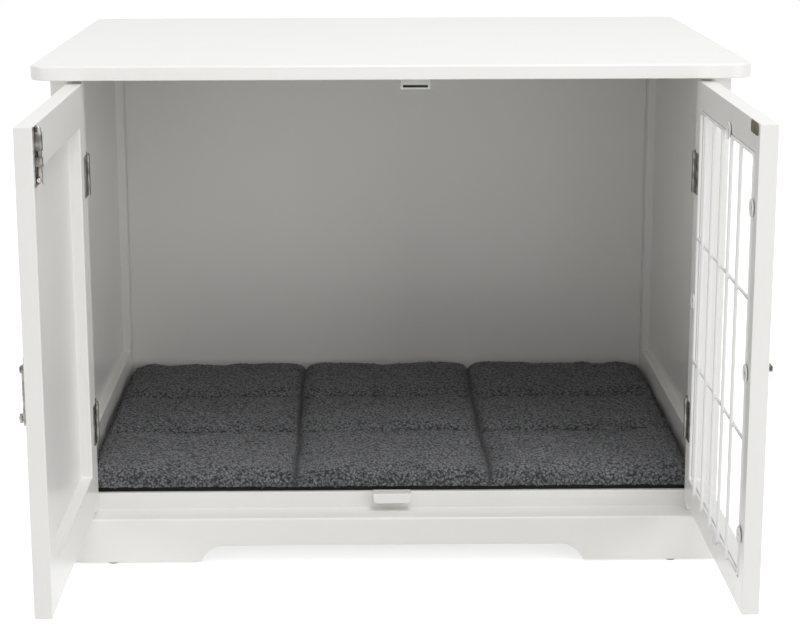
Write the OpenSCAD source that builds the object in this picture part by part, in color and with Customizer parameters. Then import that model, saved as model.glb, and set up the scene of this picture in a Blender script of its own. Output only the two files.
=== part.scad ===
// Indoor kennel: a white cabinet on a plinth with two doors standing open,
// one solid and one with a wire grille, and a quilted mat inside.
// Millimetres, +Z up, +Y to the back, +X to the viewer's right.
// The origin is on the floor under the middle of the whole object, doors open.
// Distances called y below are counted from the front edge of the top slab.

/* [Cabinet] */
// Width of the top slab
top_w = 980; // [900:1:1080]
// Depth of the top slab
top_d = 700; // [620:1:780]
// Height of the top surface above the floor
top_h = 712; // [690:1:800]
// Thickness of the top slab
slab_t = 20; // [18:1:26]
// How far the slab stands out past each side
side_overhang = 26; // [15:1:35]
// How far the slab stands out past the back
rear_overhang = 28; // [15:1:40]
// Plan radius of the slab's front corners
front_corner_r = 30; // [10:1:50]
// Plan radius of the slab's rear corners
rear_corner_r = 15; // [5:1:30]
// Width of each front post
post_w = 43; // [38:1:50]
// Depth of each front post
post_t = 20; // [18:1:24]
// Slab's front edge to the front of the posts
post_y = 27.5; // [26:0.5:36]
// Thickness of the side frames
side_t = 22; // [18:1:24]
// Width of the stiles of the side frames
side_stile_w = 50; // [40:1:70]
// Height of the top rail of the side frames
side_rail_h = 50; // [40:1:70]
// Top of the bottom rail of the side frames above the floor
side_sill_z = 144; // [125:1:180]
// Inner face of a side frame to its panel
side_recess = 12.5; // [8:0.5:13]
// Thickness of the thin panels in the side frames
side_panel_t = 5; // [4:0.5:5]
// Thickness of the back
back_t = 18; // [12:1:20]
// Face of the rear stiles to the outside of the back
back_inset = 4; // [2:1:8]

/* [Base] */
// Height of the glides
glide_h = 4; // [3:0.5:8]
// Radius of the glides
glide_r = 8; // [6:0.5:10]
// Radius of the glide stems
stem_r = 2.5; // [2:0.25:3]
// Side frame to the middle of a glide
glide_inset = 44; // [38:1:80]
// Height of the plinth
plinth_h = 64.6; // [58:0.1:72]
// Slab's front edge to the plinth
plinth_y = 3; // [1:0.5:6]
// Thickness of the plinth board
plinth_t = 9; // [8:0.5:10]
// Thickness of the ledge board behind the plinth
ledge_t = 18; // [12:1:20]
// Width of the arch in the plinth at its foot
arch_w = 546; // [400:1:600]
// Height of the arch
arch_rise = 24; // [16:1:34]
// Radius of the ends of the arch
arch_r = 40; // [36:1:60]
// Size of the corner blocks
block_w = 40; // [36:1:48]
// Thickness of the plinth's end pieces
return_t = 18; // [12:1:20]

/* [Floor] */
// Top of the cabin floor above the floor of the room
floor_z = 92; // [90:1:100]
// Thickness of the cabin floor
floor_t = 12; // [9:1:15]
// Thickness of the rail at the front of the floor
riser_t = 18; // [15:1:22]
// Bottom of that rail above the floor of the room
riser_z = 34; // [30:1:44]
// Width of the floor and top battens
batten_w = 18; // [14:1:22]
// Height of the floor and top battens
batten_h = 22; // [20:1:24]
// Slab's front edge to the top side battens
top_batten_y = 200; // [150:1:260]

/* [Doors] */
// Thickness of the doors
door_t = 22; // [18:1:24]
// Slab to the top of the doors
door_top_gap = 4.5; // [3:0.5:6]
// Ledge to the bottom of the doors
door_foot_gap = 16.4; // [12:0.2:18]
// Gap between the closed doors
centre_gap = 3.4; // [3:0.2:6]
// Front of the posts to the end of an open door
post_gap = 1.5; // [1:0.1:2]
// Width of the left door's stiles
left_stile_w = 50; // [44:1:70]
// Height of the left door's rails
left_rail_h = 56; // [45:1:75]
// Inner face of the left door to its panel
left_recess = 16; // [8:0.5:16]
// Thickness of the left door's panel
left_panel_t = 5; // [3:0.5:6]
// Width of the right door's stile at the hinges
grille_hinge_w = 36; // [32:1:50]
// Width of the right door's other stile
grille_free_w = 31; // [30:1:50]
// Height of the right door's rails
grille_rail_h = 43; // [36:1:60]

/* [Hinges] */
// Length of the hinges
hinge_h = 56; // [50:1:70]
// Middle of the upper hinges above the floor
upper_hinge_z = 560; // [540:1:600]
// Middle of the lower hinges above the floor
lower_hinge_z = 206; // [190:1:260]
// Radius of the hinge barrels
barrel_r = 3; // [2.8:0.1:3.6]
// Radius of the hinge pins
pin_r = 1.25; // [1:0.05:1.4]
// Thickness of the hinge leaves
leaf_t = 1.5; // [1.2:0.1:1.8]
// Width of the leaves on the doors
door_leaf_w = 25; // [20:1:28]
// Width of the leaves on the posts
post_leaf_w = 18; // [15:0.5:18]
// Barrel centre to the inner face of the door
pin_depth = 1; // [0.8:0.1:1.2]
// Running clearance around the pins, all round
pin_fit = 0.05; // [0.02:0.01:0.1]
// Gap between the knuckles
knuckle_gap = 0.3; // [0.3:0.05:0.6]

/* [Grille] */
// Radius of the wires
wire_r = 2.25; // [1.75:0.05:2.5]
// Number of upright wires, the two ends counted
wire_columns = 7; // [5:1:9]
// Number of level wires, top and bottom counted
wire_rows = 4; // [3:1:6]
// How far the wires' outline lies outside the window
grille_lap = 3; // [2.5:0.1:3.5]
// Depth of the rebate that the outline lies in
rebate_d = 3; // [2:0.1:3.2]
// Gap between the outline and the side of the rebate
rebate_gap = 0.6; // [0.3:0.1:1]
// Bend radius at the corners of the outline
wire_bend_r = 8; // [6:1:14]
// Radius of the clips
clip_r = 11; // [9:0.5:11]
// Thickness of the clips over the wire
clip_t = 1.8; // [1.5:0.1:2.5]
// Height of the clips on the free stile, from the floor, low one
clip_low_z = 180; // [160:1:250]
// The same, middle one
clip_mid_z = 384; // [340:1:420]
// The same, high one
clip_high_z = 585; // [500:1:600]
// Gap between two upright wires that holds the rail clips, from the hinges
clip_bay = 4; // [2:1:4]

/* [Fittings] */
// Radius of the screw heads
head_r = 3.1; // [2.6:0.1:3.2]
// Radius of the screw shanks
shank_r = 1.5; // [1.2:0.1:1.6]
// Length of the short screws
short_screw = 14; // [10:1:15]
// Length of the long screws
long_screw = 34; // [30:1:36]
// Radius of the door bolt
bolt_r = 3.2; // [2.8:0.1:3.2]
// Length of the door bolt
bolt_len = 67.5; // [66:0.5:68]
// Travel of the door bolt
bolt_travel = 13; // [8:0.5:13]
// Clearance of the bolt in the slab's hole, all round
bolt_hole_fit = 0.8; // [0.5:0.1:1.5]
// Height of the latch pivot above the floor
latch_z = 396; // [370:1:420]
// Pivot of the latch to the end of its bar
latch_len = 70; // [60:1:76]
// Width of the latch bar
latch_w = 9; // [7:0.5:9]
// Thickness of the latch bar
latch_t = 2.5; // [2:0.1:3]
// Play of the latch bar on each face
latch_play = 0.4; // [0.3:0.05:0.5]
// Radius of the latch's pivot stud
stud_r = 2.5; // [2:0.1:2.8]
// Thickness of the plates on the doors
plate_t = 1.5; // [1.2:0.1:1.5]
// Length of the strike plate
strike_w = 40; // [34:1:44]
// Height of the strike plate
strike_h = 15; // [12:1:15]
// Thickness of the strike plate
strike_t = 1.2; // [1:0.1:1.4]
// Middle of the magnetic catch, to the right of the centre
catch_x = 33; // [28:1:40]
// Length of the magnetic catch
catch_w = 41; // [38:1:44]
// Depth of the magnetic catch
catch_d = 17; // [16:0.5:20]
// How far the catch hangs down from the slab
catch_drop = 17; // [16:0.5:19]
// Closed strike plate to the catch
catch_gap = 0.4; // [0.3:0.05:0.8]
// Closed doors to the stop on the ledge
stop_gap = 0.5; // [0.3:0.1:1]
// Half the length of the stop
stop_half_w = 27; // [22:1:36]
// Radius of the dowels in the stop
dowel_r = 3; // [2.5:0.5:3]

/* [Mat] */
// Cabin wall to the side of the mat
mat_side_gap = 4; // [2:0.5:10]
// Front of the floor rail to the mat
mat_front_gap = 2.5; // [2:0.5:20]
// Back of the cabin to the mat
mat_back_gap = 8; // [4:1:20]
// Height of the mat at its crowns, base and all
mat_h = 28; // [24:1:36]
// How much lower the seams lie than the crowns
mat_dip = 6.5; // [4:0.5:9]
// Thickness of the base cloth
mat_base_t = 6.7; // [4:0.1:8]
// Middle of the mat to the two seams that run back
seam_x = 140; // [120:1:160]
// Front of the mat to the first cross seam
seam_front = 208; // [180:1:215]
// First to second cross seam
seam_step = 185; // [160:1:195]
// Gap between the mat and the floor
mat_lift_gap = 0.3; // [0.2:0.05:0.5]

/* [Hidden] */
$fn = 64;
white = [0.93, 0.93, 0.91];
raw = [0.80, 0.68, 0.50];
nickel = [0.62, 0.62, 0.60];
bright = [0.82, 0.82, 0.83];
bronze = [0.43, 0.42, 0.37];
grey = [0.70, 0.70, 0.70];
dark = [0.10, 0.10, 0.10];
charcoal = [0.27, 0.28, 0.29];
// Heights
slab_z = top_h - slab_t;
ledge_z = glide_h + plinth_h;
ledge_under = ledge_z - ledge_t;
batten_z = floor_z - floor_t - batten_h;
side_top_z = slab_z - side_rail_h;
door_z0 = ledge_z + door_foot_gap;
door_z1 = slab_z - door_top_gap;
// Widths from the middle
body_x = top_w / 2 - side_overhang;
side_in = body_x - side_t;
glide_x = side_in - glide_inset;
back_screw_x = side_in * 0.225;
post_in = body_x - post_w;
pin_x = post_in - barrel_r - leaf_t + 0.5;
door_in = pin_x + pin_depth;
// Depths from the front edge of the slab
post_back = post_y + post_t;
riser_back = post_back + riser_t;
body_back = top_d - rear_overhang;
back_y = body_back - back_inset - back_t;
plinth_back = plinth_y + plinth_t;
rear_stile_y = body_back - side_stile_w;
front_stile_y = post_back + side_stile_w;
// Doors: s runs from the hinge end, t outwards from the inner face
door_y = post_y - post_gap;
pin_s = barrel_r + 0.3;
pin_y = door_y + pin_s;
shut_edge = pin_x - pin_s;
shut_back = pin_y - pin_depth;
door_len = shut_edge - centre_gap / 2;
mid_y = (top_d + door_y - door_len) / 2;
window_s0 = grille_hinge_w;
window_s1 = door_len - grille_free_w;
window_z0 = door_z0 + grille_rail_h;
window_z1 = door_z1 - grille_rail_h;
grille_s0 = window_s0 - grille_lap;
grille_s1 = window_s1 + grille_lap;
grille_z0 = window_z0 - grille_lap;
grille_z1 = window_z1 + grille_lap;
clip_out = wire_r + rebate_gap + 3.15;
wire_t = rebate_d - wire_r;
clip_foot = 2 * wire_r - rebate_d + 0.6;
clip_s = grille_s0 + (grille_s1 - grille_s0) * (clip_bay - 0.5) / (wire_columns - 1);
knuckle = hinge_h / 5;
screw_z = hinge_h / 2 - 9;
glide_front_y = plinth_back + 3;
glide_rear_y = back_y - block_w / 2;
// Bolt, strike, latch and keeper near the free ends of the doors
bolt_s = door_len - 12;
bolt_t = plate_t + 0.3 + bolt_r;
bolt_z1 = door_z1 - 1;
bolt_z0 = bolt_z1 - bolt_len;
bolt_knob_z = bolt_z0 + 6;
bolt_plate_z1 = door_z1 - 0.5;
bolt_low_z = bolt_knob_z + 1.5 + bolt_travel + 0.5;
strap_r = bolt_r + 0.05 + 1.2;
latch_s = door_len - 14;
latch_in = door_t + plate_t + latch_play;
latch_out = latch_in + latch_t;
keeper_s = door_len - 16;
keeper_z0 = latch_z - latch_w / 2 - 2.1;
strike_s = door_len - 27;
strike_z1 = door_z1 - 0.5;
catch_y = shut_back + strike_t + catch_gap;
catch_z0 = slab_z - catch_drop;
stop_y = shut_back + stop_gap;
stop_z0 = door_z0 - 4.5;
stop_z1 = floor_z + 3;
// Mat
mat_x = side_in - mat_side_gap;
mat_y0 = post_back + mat_front_gap;
mat_y1 = back_y - mat_back_gap;
mat_z0 = floor_z + mat_lift_gap;
mat_z1 = mat_z0 + mat_base_t;
mat_z2 = mat_z0 + mat_h;
NX = 24;
NY = 21;
RIM = 2 * (NX + NY);

// Box between two corners, y counted from the slab's front edge
module box(x0, x1, y0, y1, z0, z1) {
  translate([x0, y0 - mid_y, z0]) cube([x1 - x0, y1 - y0, z1 - z0]);
}

// The same on one side of the middle, a counted outwards
module side_box(side, a0, a1, y0, y1, z0, z1) {
  if (side > 0) box(a0, a1, y0, y1, z0, z1);
  else box(-a1, -a0, y0, y1, z0, z1);
}

module at(x, y, z) {
  translate([x, y - mid_y, z]) children();
}

// Box on a door
module door_box(side, s0, s1, t0, t1, z0, z1) {
  side_box(side, door_in + t0, door_in + t1, door_y - s1, door_y - s0, z0, z1);
}

module on_door(side, s, t, z) {
  at(side * (door_in + t), door_y - s, z) children();
}

// Something that points out of the inner face of a door
module facing_in(side, s, t, z) {
  on_door(side, s, t, z) rotate([0, -90 * side, 0]) children();
}

// Something that points out of the outer face of a door
module facing_out(side, s, t, z) {
  on_door(side, s, t, z) rotate([0, 90 * side, 0]) children();
}

// Board with round corners in plan
module round_board(hx, y0, y1, z0, z1, rf, rr) {
  ym = (y0 + y1) / 2;
  box(-hx + rf, hx - rf, y0, ym, z0, z1);
  box(-hx, hx, y0 + rf, ym, z0, z1);
  box(-hx + rr, hx - rr, ym, y1, z0, z1);
  box(-hx, hx, ym, y1 - rr, z0, z1);
  for (x = [-1, 1]) {
    at(x * (hx - rf), y0 + rf, z0) cylinder(r = rf, h = z1 - z0);
    at(x * (hx - rr), y1 - rr, z0) cylinder(r = rr, h = z1 - z0);
  }
}

// Countersunk screw, head level with z = 0, pointing down
module screw(len) {
  difference() {
    screw_body(len, 0);
    for (a = [0, 90]) {
      rotate([0, 0, a]) translate([-head_r * 0.55, -0.35, -0.9])
        cube([head_r * 1.1, 0.7, 1.2]);
    }
  }
}

module screw_body(len, over) {
  translate([0, 0, -head_r + shank_r]) cylinder(r1 = shank_r, r2 = head_r, h = head_r - shank_r);
  translate([0, 0, -len]) cylinder(r = shank_r, h = len);
  if (over > 0) cylinder(r = head_r, h = over);
}

module screw_hole(len) {
  screw_body(len, 1);
}

// Places of the screws
module post_leaf_screw_places() {
  for (side = [-1, 1]) {
    for (z = [lower_hinge_z, upper_hinge_z]) {
      for (d = [-screw_z, screw_z]) {
        at(side * (post_in - leaf_t), pin_y + 10.5, z + d) rotate([0, -90 * side, 0]) children();
      }
    }
  }
}

module door_leaf_screw_places(side) {
  for (z = [lower_hinge_z, upper_hinge_z]) {
    for (d = [-screw_z, screw_z]) {
      facing_in(side, 14, -leaf_t, z + d) children();
    }
  }
}

module bolt_screw_places() {
  for (ds = [-7.5, 7.5]) {
    for (z = [bolt_z0 + 2, bolt_z0 + 36.5]) {
      facing_in(-1, bolt_s + ds, -plate_t, z) children();
    }
  }
}

module latch_screw_places() {
  for (z = [latch_z - 10.5, latch_z + 11.5]) {
    facing_out(-1, latch_s, door_t + plate_t, z) children();
  }
}

module strike_screw_place() {
  facing_in(1, strike_s, -strike_t, strike_z1 - strike_h / 2) children();
}

module keeper_screw_places() {
  for (z = [latch_z + 10.5, latch_z + 21]) {
    facing_out(1, keeper_s, door_t + plate_t, z) children();
  }
}

// Clips stand just outside the outline of the wires
module clip_places(up) {
  facing_in(1, clip_s, -up, grille_z1 + clip_out) children();
  facing_in(1, clip_s, -up, grille_z0 - clip_out) children();
  facing_in(1, grille_s0 - clip_out, -up, clip_mid_z) children();
  for (z = [clip_low_z, clip_mid_z, clip_high_z]) {
    facing_in(1, grille_s1 + clip_out, -up, z) children();
  }
}

module batten_screw_places() {
  for (side = [-1, 1]) {
    for (y = [top_batten_y + 40, (top_batten_y + back_y) / 2, back_y - 50]) {
      at(side * (side_in - batten_w / 2), y, slab_z - batten_h) rotate([180, 0, 0]) children();
    }
    at(side * 2 * back_screw_x, back_y - batten_w / 2, slab_z - batten_h) rotate([180, 0, 0]) children();
  }
}

module back_screw_places() {
  for (k = [-3, -1, 1, 3]) {
    for (z = [batten_z + batten_h / 2, slab_z - batten_h / 2]) {
      at(k * back_screw_x, back_y + back_t, z) rotate([-90, 0, 0]) children();
    }
  }
}

module catch_screw_places() {
  for (d = [-13, 13]) {
    at(catch_x + d, catch_y + catch_d - 3.4, catch_z0) rotate([180, 0, 0]) children();
  }
}

module glide_places() {
  for (x = [-glide_x, glide_x]) {
    at(x, glide_front_y, 0) children();
    at(x, glide_rear_y, 0) children();
  }
}

module dowel_places() {
  for (x = [-14, 14]) {
    at(x, post_back - 9.5, (stop_z0 + stop_z1) / 2) rotate([-90, 0, 0]) children();
  }
}

// Cabinet

module top_panel() {
  color(white) difference() {
    round_board(top_w / 2, 0, top_d, slab_z, top_h, front_corner_r, rear_corner_r);
    at(-(shut_edge - bolt_s), shut_back + bolt_t, slab_z - 1)
      cylinder(r = bolt_r + bolt_hole_fit, h = 11);
    batten_screw_places() screw_hole(long_screw);
    catch_screw_places() screw_hole(long_screw - 8);
  }
}

module post(side) {
  color(white) difference() {
    side_box(side, post_in, body_x, post_y, post_back, ledge_z, slab_z);
    post_leaf_screw_places() screw_hole(short_screw);
  }
}

module left_post() {
  post(-1);
}

module right_post() {
  post(1);
}

module side_stile(side, y0, y1) {
  color(white) side_box(side, side_in, body_x, y0, y1, glide_h, slab_z);
}

module side_rail(side, z0, z1) {
  color(white) side_box(side, side_in, body_x, front_stile_y, rear_stile_y, z0, z1);
}

module side_panel(side) {
  px = side_in + side_recess;
  color(white) side_box(side, px, px + side_panel_t, front_stile_y, rear_stile_y, side_sill_z, side_top_z);
}

module left_side_front_stile() {
  side_stile(-1, post_back, front_stile_y);
}

module left_side_rear_stile() {
  side_stile(-1, rear_stile_y, body_back);
}

module left_side_top_rail() {
  side_rail(-1, side_top_z, slab_z);
}

module left_side_bottom_rail() {
  side_rail(-1, glide_h, side_sill_z);
}

module left_side_panel() {
  side_panel(-1);
}

module right_side_front_stile() {
  side_stile(1, post_back, front_stile_y);
}

module right_side_rear_stile() {
  side_stile(1, rear_stile_y, body_back);
}

module right_side_top_rail() {
  side_rail(1, side_top_z, slab_z);
}

module right_side_bottom_rail() {
  side_rail(1, glide_h, side_sill_z);
}

module right_side_panel() {
  side_panel(1);
}

module back_panel() {
  color(white) difference() {
    box(-side_in, side_in, back_y, back_y + back_t, batten_z, slab_z);
    back_screw_places() screw_hole(long_screw);
  }
}

module rear_base_rail() {
  color(white) box(-side_in, side_in, back_y, back_y + back_t, glide_h, batten_z);
}

module floor_panel() {
  color(white) box(-side_in, side_in, riser_back, back_y, floor_z - floor_t, floor_z);
}

module floor_side_battens() {
  color(raw) for (side = [-1, 1]) {
    side_box(side, side_in - batten_w, side_in, riser_back, back_y, batten_z, batten_z + batten_h);
  }
}

module floor_bearers() {
  bx = side_in - batten_w;
  cy = (riser_back + back_y) / 2;
  color(raw) difference() {
    union() {
      box(-bx, bx, riser_back, riser_back + batten_w, batten_z, batten_z + batten_h);
      box(-bx, bx, cy - batten_w / 2, cy + batten_w / 2, batten_z, batten_z + batten_h);
      box(-bx, bx, back_y - batten_w, back_y, batten_z, batten_z + batten_h);
    }
    back_screw_places() screw_hole(long_screw);
  }
}

module floor_front_rail() {
  color(white) difference() {
    box(-side_in, side_in, post_back, riser_back, riser_z, floor_z);
    dowel_places() cylinder(r = dowel_r, h = 20);
  }
}

module ledge_board() {
  color(white) box(-body_x, body_x, plinth_back, post_back, ledge_under, ledge_z);
}

// The arch is a flat with a large arc at each end
module plinth_board() {
  arch_dx = sqrt(2 * arch_r * arch_rise - arch_rise * arch_rise);
  arch_cx = arch_w / 2 - arch_dx;
  arch_z = glide_h + arch_rise;
  color(white) difference() {
    box(-body_x, body_x, plinth_y, plinth_back, glide_h, ledge_z);
    box(-arch_cx, arch_cx, plinth_y - 1, plinth_back + 1, glide_h - 1, arch_z);
    for (x = [-arch_cx, arch_cx]) {
      at(x, plinth_y - 1, arch_z - arch_r) rotate([-90, 0, 0]) cylinder(r = arch_r, h = plinth_t + 2);
    }
  }
}

module plinth_returns() {
  color(white) for (side = [-1, 1]) {
    side_box(side, body_x - return_t, body_x, plinth_back, post_back, glide_h, ledge_under);
  }
}

module corner_blocks() {
  color(raw) difference() {
    for (side = [-1, 1]) {
      side_box(side, glide_x - block_w / 2, glide_x + block_w / 2, plinth_back, post_back, glide_h, ledge_under);
      side_box(side, glide_x - block_w / 2, glide_x + block_w / 2, back_y - block_w, back_y, glide_h, batten_z);
    }
    glide_places() cylinder(r = stem_r, h = glide_h + 12);
  }
}

module glides() {
  color(grey) glide_places() {
    cylinder(r1 = glide_r - 1, r2 = glide_r, h = 1);
    translate([0, 0, 1]) cylinder(r = glide_r, h = glide_h - 1);
    cylinder(r = stem_r, h = glide_h + 12);
  }
}

// Three sticks of wood: the rear one is cut a little short of the side ones
module top_battens() {
  z0 = slab_z - batten_h;
  rear_x = side_in - batten_w - 0.5;
  color(raw) difference() {
    union() {
      for (side = [-1, 1]) {
        side_box(side, side_in - batten_w, side_in, top_batten_y, back_y, z0, slab_z);
      }
      box(-rear_x, rear_x, back_y - batten_w, back_y, z0, slab_z);
    }
    batten_screw_places() screw_hole(long_screw);
    back_screw_places() screw_hole(long_screw);
  }
}

module batten_screws() {
  color(nickel) batten_screw_places() screw(long_screw);
}

module back_screws() {
  color(nickel) back_screw_places() screw(long_screw);
}

module catch_housing() {
  x0 = catch_x - catch_w / 2;
  x1 = catch_x + catch_w / 2;
  color(grey) difference() {
    box(x0, x1, catch_y, catch_y + catch_d, catch_z0, slab_z);
    box(x0 + 3.5, x1 - 3.5, catch_y - 1, catch_y + 10, catch_z0 + 2.8, catch_z0 + 6.2);
    catch_screw_places() screw_hole(long_screw - 8);
  }
}

module catch_magnet() {
  x0 = catch_x - catch_w / 2 + 3.5;
  x1 = catch_x + catch_w / 2 - 3.5;
  color(dark) difference() {
    box(x0, x1, catch_y + 0.2, catch_y + 10, catch_z0 + 2.8, catch_z0 + 6.2);
    box(x0 - 1, x1 + 1, catch_y - 1, catch_y + 1.2, catch_z0 + 3.9, catch_z0 + 5.1);
  }
}

module catch_screws() {
  color(nickel) catch_screw_places() screw(long_screw - 8);
}

module door_stop() {
  h = stop_half_w;
  color(white) difference() {
    union() {
      box(-h, h, stop_y, post_back, stop_z0 + 6, stop_z1);
      box(-h + 6, h - 6, stop_y, post_back, stop_z0, stop_z1);
      for (x = [-h + 6, h - 6]) {
        at(x, stop_y, stop_z0 + 6) rotate([-90, 0, 0]) cylinder(r = 6, h = post_back - stop_y);
      }
    }
    dowel_places() cylinder(r = dowel_r, h = 20);
  }
}

module stop_dowels() {
  color(raw) dowel_places() cylinder(r = dowel_r, h = 20);
}

// Three knuckles of each hinge are the post leaf's, two are the door leaf's
module knuckle_ring(k, hole_r) {
  translate([0, 0, k * knuckle + knuckle_gap / 2 - hinge_h / 2]) difference() {
    cylinder(r = barrel_r, h = knuckle - knuckle_gap);
    translate([0, 0, -1]) cylinder(r = hole_r, h = knuckle + 2);
  }
}

module post_leaf(side, zc) {
  x0 = post_in - leaf_t;
  y1 = pin_y + post_leaf_w;
  side_box(side, x0, post_in, pin_y + barrel_r - 0.7, y1, zc - hinge_h / 2, zc + hinge_h / 2);
  for (k = [0, 2, 4]) {
    z0 = zc - hinge_h / 2 + k * knuckle + knuckle_gap / 2;
    side_box(side, pin_x + pin_r + 0.35, post_in, pin_y, pin_y + barrel_r - 0.7, z0, z0 + knuckle - knuckle_gap);
    at(side * pin_x, pin_y, zc) knuckle_ring(k, pin_r);
  }
}

module post_leaves() {
  color(nickel) difference() {
    for (side = [-1, 1]) {
      for (z = [lower_hinge_z, upper_hinge_z]) {
        post_leaf(side, z);
      }
    }
    post_leaf_screw_places() screw_hole(short_screw);
  }
}

module hinge_pins() {
  color(bright) for (side = [-1, 1]) {
    for (z = [lower_hinge_z, upper_hinge_z]) {
      at(side * pin_x, pin_y, z) {
        translate([0, 0, -hinge_h / 2]) cylinder(r = pin_r, h = hinge_h);
        translate([0, 0, hinge_h / 2 - knuckle_gap / 2]) cylinder(r1 = 2.6, r2 = 1.8, h = 1.6);
        translate([0, 0, -hinge_h / 2 - 1.6 + knuckle_gap / 2]) cylinder(r1 = 1.8, r2 = 2.6, h = 1.6);
      }
    }
  }
}

module post_leaf_screws() {
  color(nickel) post_leaf_screw_places() screw(short_screw);
}

module door_leaves(side) {
  color(nickel) difference() {
    for (zc = [lower_hinge_z, upper_hinge_z]) {
      door_box(side, 0, door_leaf_w, -leaf_t, 0, zc - hinge_h / 2, zc + hinge_h / 2);
      for (k = [1, 3]) {
        z0 = zc - hinge_h / 2 + k * knuckle + knuckle_gap / 2;
        door_box(side, 0.8 - pin_s + barrel_r - 1.9, 0, -leaf_t, 0, z0, z0 + knuckle - knuckle_gap);
        on_door(side, -pin_s, -pin_depth, zc) knuckle_ring(k, pin_r + pin_fit);
      }
    }
    door_leaf_screw_places(side) screw_hole(short_screw);
  }
}

// Left door

module left_hinge_stile() {
  color(white) difference() {
    door_box(-1, 0, left_stile_w, 0, door_t, door_z0, door_z1);
    door_leaf_screw_places(-1) screw_hole(short_screw);
  }
}

module left_free_stile() {
  color(white) difference() {
    door_box(-1, door_len - left_stile_w, door_len, 0, door_t, door_z0, door_z1);
    bolt_screw_places() screw_hole(short_screw);
    latch_screw_places() screw_hole(short_screw);
  }
}

module left_top_rail() {
  color(white) door_box(-1, left_stile_w, door_len - left_stile_w, 0, door_t, door_z1 - left_rail_h, door_z1);
}

module left_bottom_rail() {
  color(white) door_box(-1, left_stile_w, door_len - left_stile_w, 0, door_t, door_z0, door_z0 + left_rail_h);
}

module left_panel() {
  color(white) door_box(-1, left_stile_w, door_len - left_stile_w, left_recess, left_recess + left_panel_t,
    door_z0 + left_rail_h, door_z1 - left_rail_h);
}

module left_door_leaves() {
  door_leaves(-1);
}

module left_door_screws() {
  color(nickel) {
    door_leaf_screw_places(-1) screw(short_screw);
    bolt_screw_places() screw(short_screw);
    latch_screw_places() screw(short_screw);
  }
}

module bolt_strap(z0, z1) {
  on_door(-1, bolt_s, -bolt_t, z0) cylinder(r = strap_r, h = z1 - z0);
  door_box(-1, bolt_s - strap_r, bolt_s + strap_r, -bolt_t, -plate_t, z0, z1);
}

module bolt_plate() {
  color(bright) difference() {
    union() {
      door_box(-1, bolt_s - 11, bolt_s + 11, -plate_t, 0, bolt_z0 - 2, bolt_plate_z1);
      bolt_strap(bolt_low_z, bolt_low_z + 11);
      bolt_strap(bolt_z1 - 28, bolt_z1 - 6);
    }
    on_door(-1, bolt_s, -bolt_t, bolt_z0 - 5) cylinder(r = bolt_r + 0.05, h = bolt_len + 10);
    bolt_screw_places() screw_hole(short_screw);
  }
}

// Plate with a headed stud that the bar swings on
module latch_plate() {
  color(bright) difference() {
    union() {
      door_box(-1, latch_s - 8, latch_s + 8, door_t, door_t + plate_t, latch_z - 15, latch_z + 17);
      facing_out(-1, latch_s, door_t, latch_z) cylinder(r = stud_r, h = latch_out - door_t + 1);
      facing_out(-1, latch_s, latch_out + 0.3, latch_z) cylinder(r = 5, h = 1.4);
      facing_out(-1, latch_s, latch_out + 1.7, latch_z) cylinder(r1 = 5, r2 = 3.6, h = 1);
    }
    latch_screw_places() screw_hole(short_screw);
  }
}

module bolt_rod() {
  color(bright) {
    on_door(-1, bolt_s, -bolt_t, bolt_z0) cylinder(r = bolt_r, h = bolt_len - 1.5);
    on_door(-1, bolt_s, -bolt_t, bolt_z1 - 1.5) cylinder(r1 = bolt_r, r2 = bolt_r - 1, h = 1.5);
    on_door(-1, bolt_s, -bolt_t, bolt_knob_z) rotate([90, 0, 0]) cylinder(r = 1.5, h = 8);
    on_door(-1, bolt_s + 8.6, -bolt_t, bolt_knob_z) sphere(r = bolt_r);
  }
}

module latch_bar() {
  end = latch_len - latch_w / 2;
  color(bright) difference() {
    union() {
      facing_out(-1, latch_s, latch_in, latch_z) cylinder(r = 6, h = latch_t);
      door_box(-1, latch_s - latch_w / 2, latch_s + latch_w / 2, latch_in, latch_out, latch_z - end, latch_z);
      facing_out(-1, latch_s, latch_in, latch_z - end) cylinder(r = latch_w / 2, h = latch_t);
      facing_out(-1, latch_s, latch_in, latch_z - end + 5) cylinder(r = 3.2, h = latch_t + 2);
      facing_out(-1, latch_s, latch_out + 1.5, latch_z - end + 5) cylinder(r = 6, h = 3);
    }
    facing_out(-1, latch_s, latch_in - 1, latch_z) cylinder(r = stud_r + pin_fit, h = latch_t + 2);
  }
}

// Right door

module right_hinge_stile() {
  color(white) difference() {
    door_box(1, 0, grille_hinge_w, 0, door_t, door_z0, door_z1);
    door_leaf_screw_places(1) screw_hole(short_screw);
    clip_places(clip_foot) screw_hole(short_screw);
    grille_rebate();
  }
}

module right_free_stile() {
  color(white) difference() {
    door_box(1, window_s1, door_len, 0, door_t, door_z0, door_z1);
    clip_places(clip_foot) screw_hole(short_screw);
    grille_rebate();
    keeper_screw_places() screw_hole(short_screw);
    strike_screw_place() screw_hole(short_screw);
  }
}

module right_top_rail() {
  color(white) difference() {
    door_box(1, window_s0, window_s1, 0, door_t, window_z1, door_z1);
    clip_places(clip_foot) screw_hole(short_screw);
    grille_rebate();
  }
}

module right_bottom_rail() {
  color(white) difference() {
    door_box(1, window_s0, window_s1, 0, door_t, door_z0, window_z0);
    clip_places(clip_foot) screw_hole(short_screw);
    grille_rebate();
  }
}

// Shallow recess round the window for the outline of the wires
module grille_rebate() {
  e = wire_r + rebate_gap;
  door_box(1, grille_s0 - e, grille_s1 + e, -1, rebate_d, grille_z0 - e, grille_z1 + e);
}

module upright_wire(s, t, z0, z1) {
  on_door(1, s, t, z0) cylinder(r = wire_r, h = z1 - z0);
}

module level_wire(s0, s1, t, z) {
  on_door(1, s0, t, z) rotate([90, 0, 0]) cylinder(r = wire_r, h = s1 - s0);
}

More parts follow.
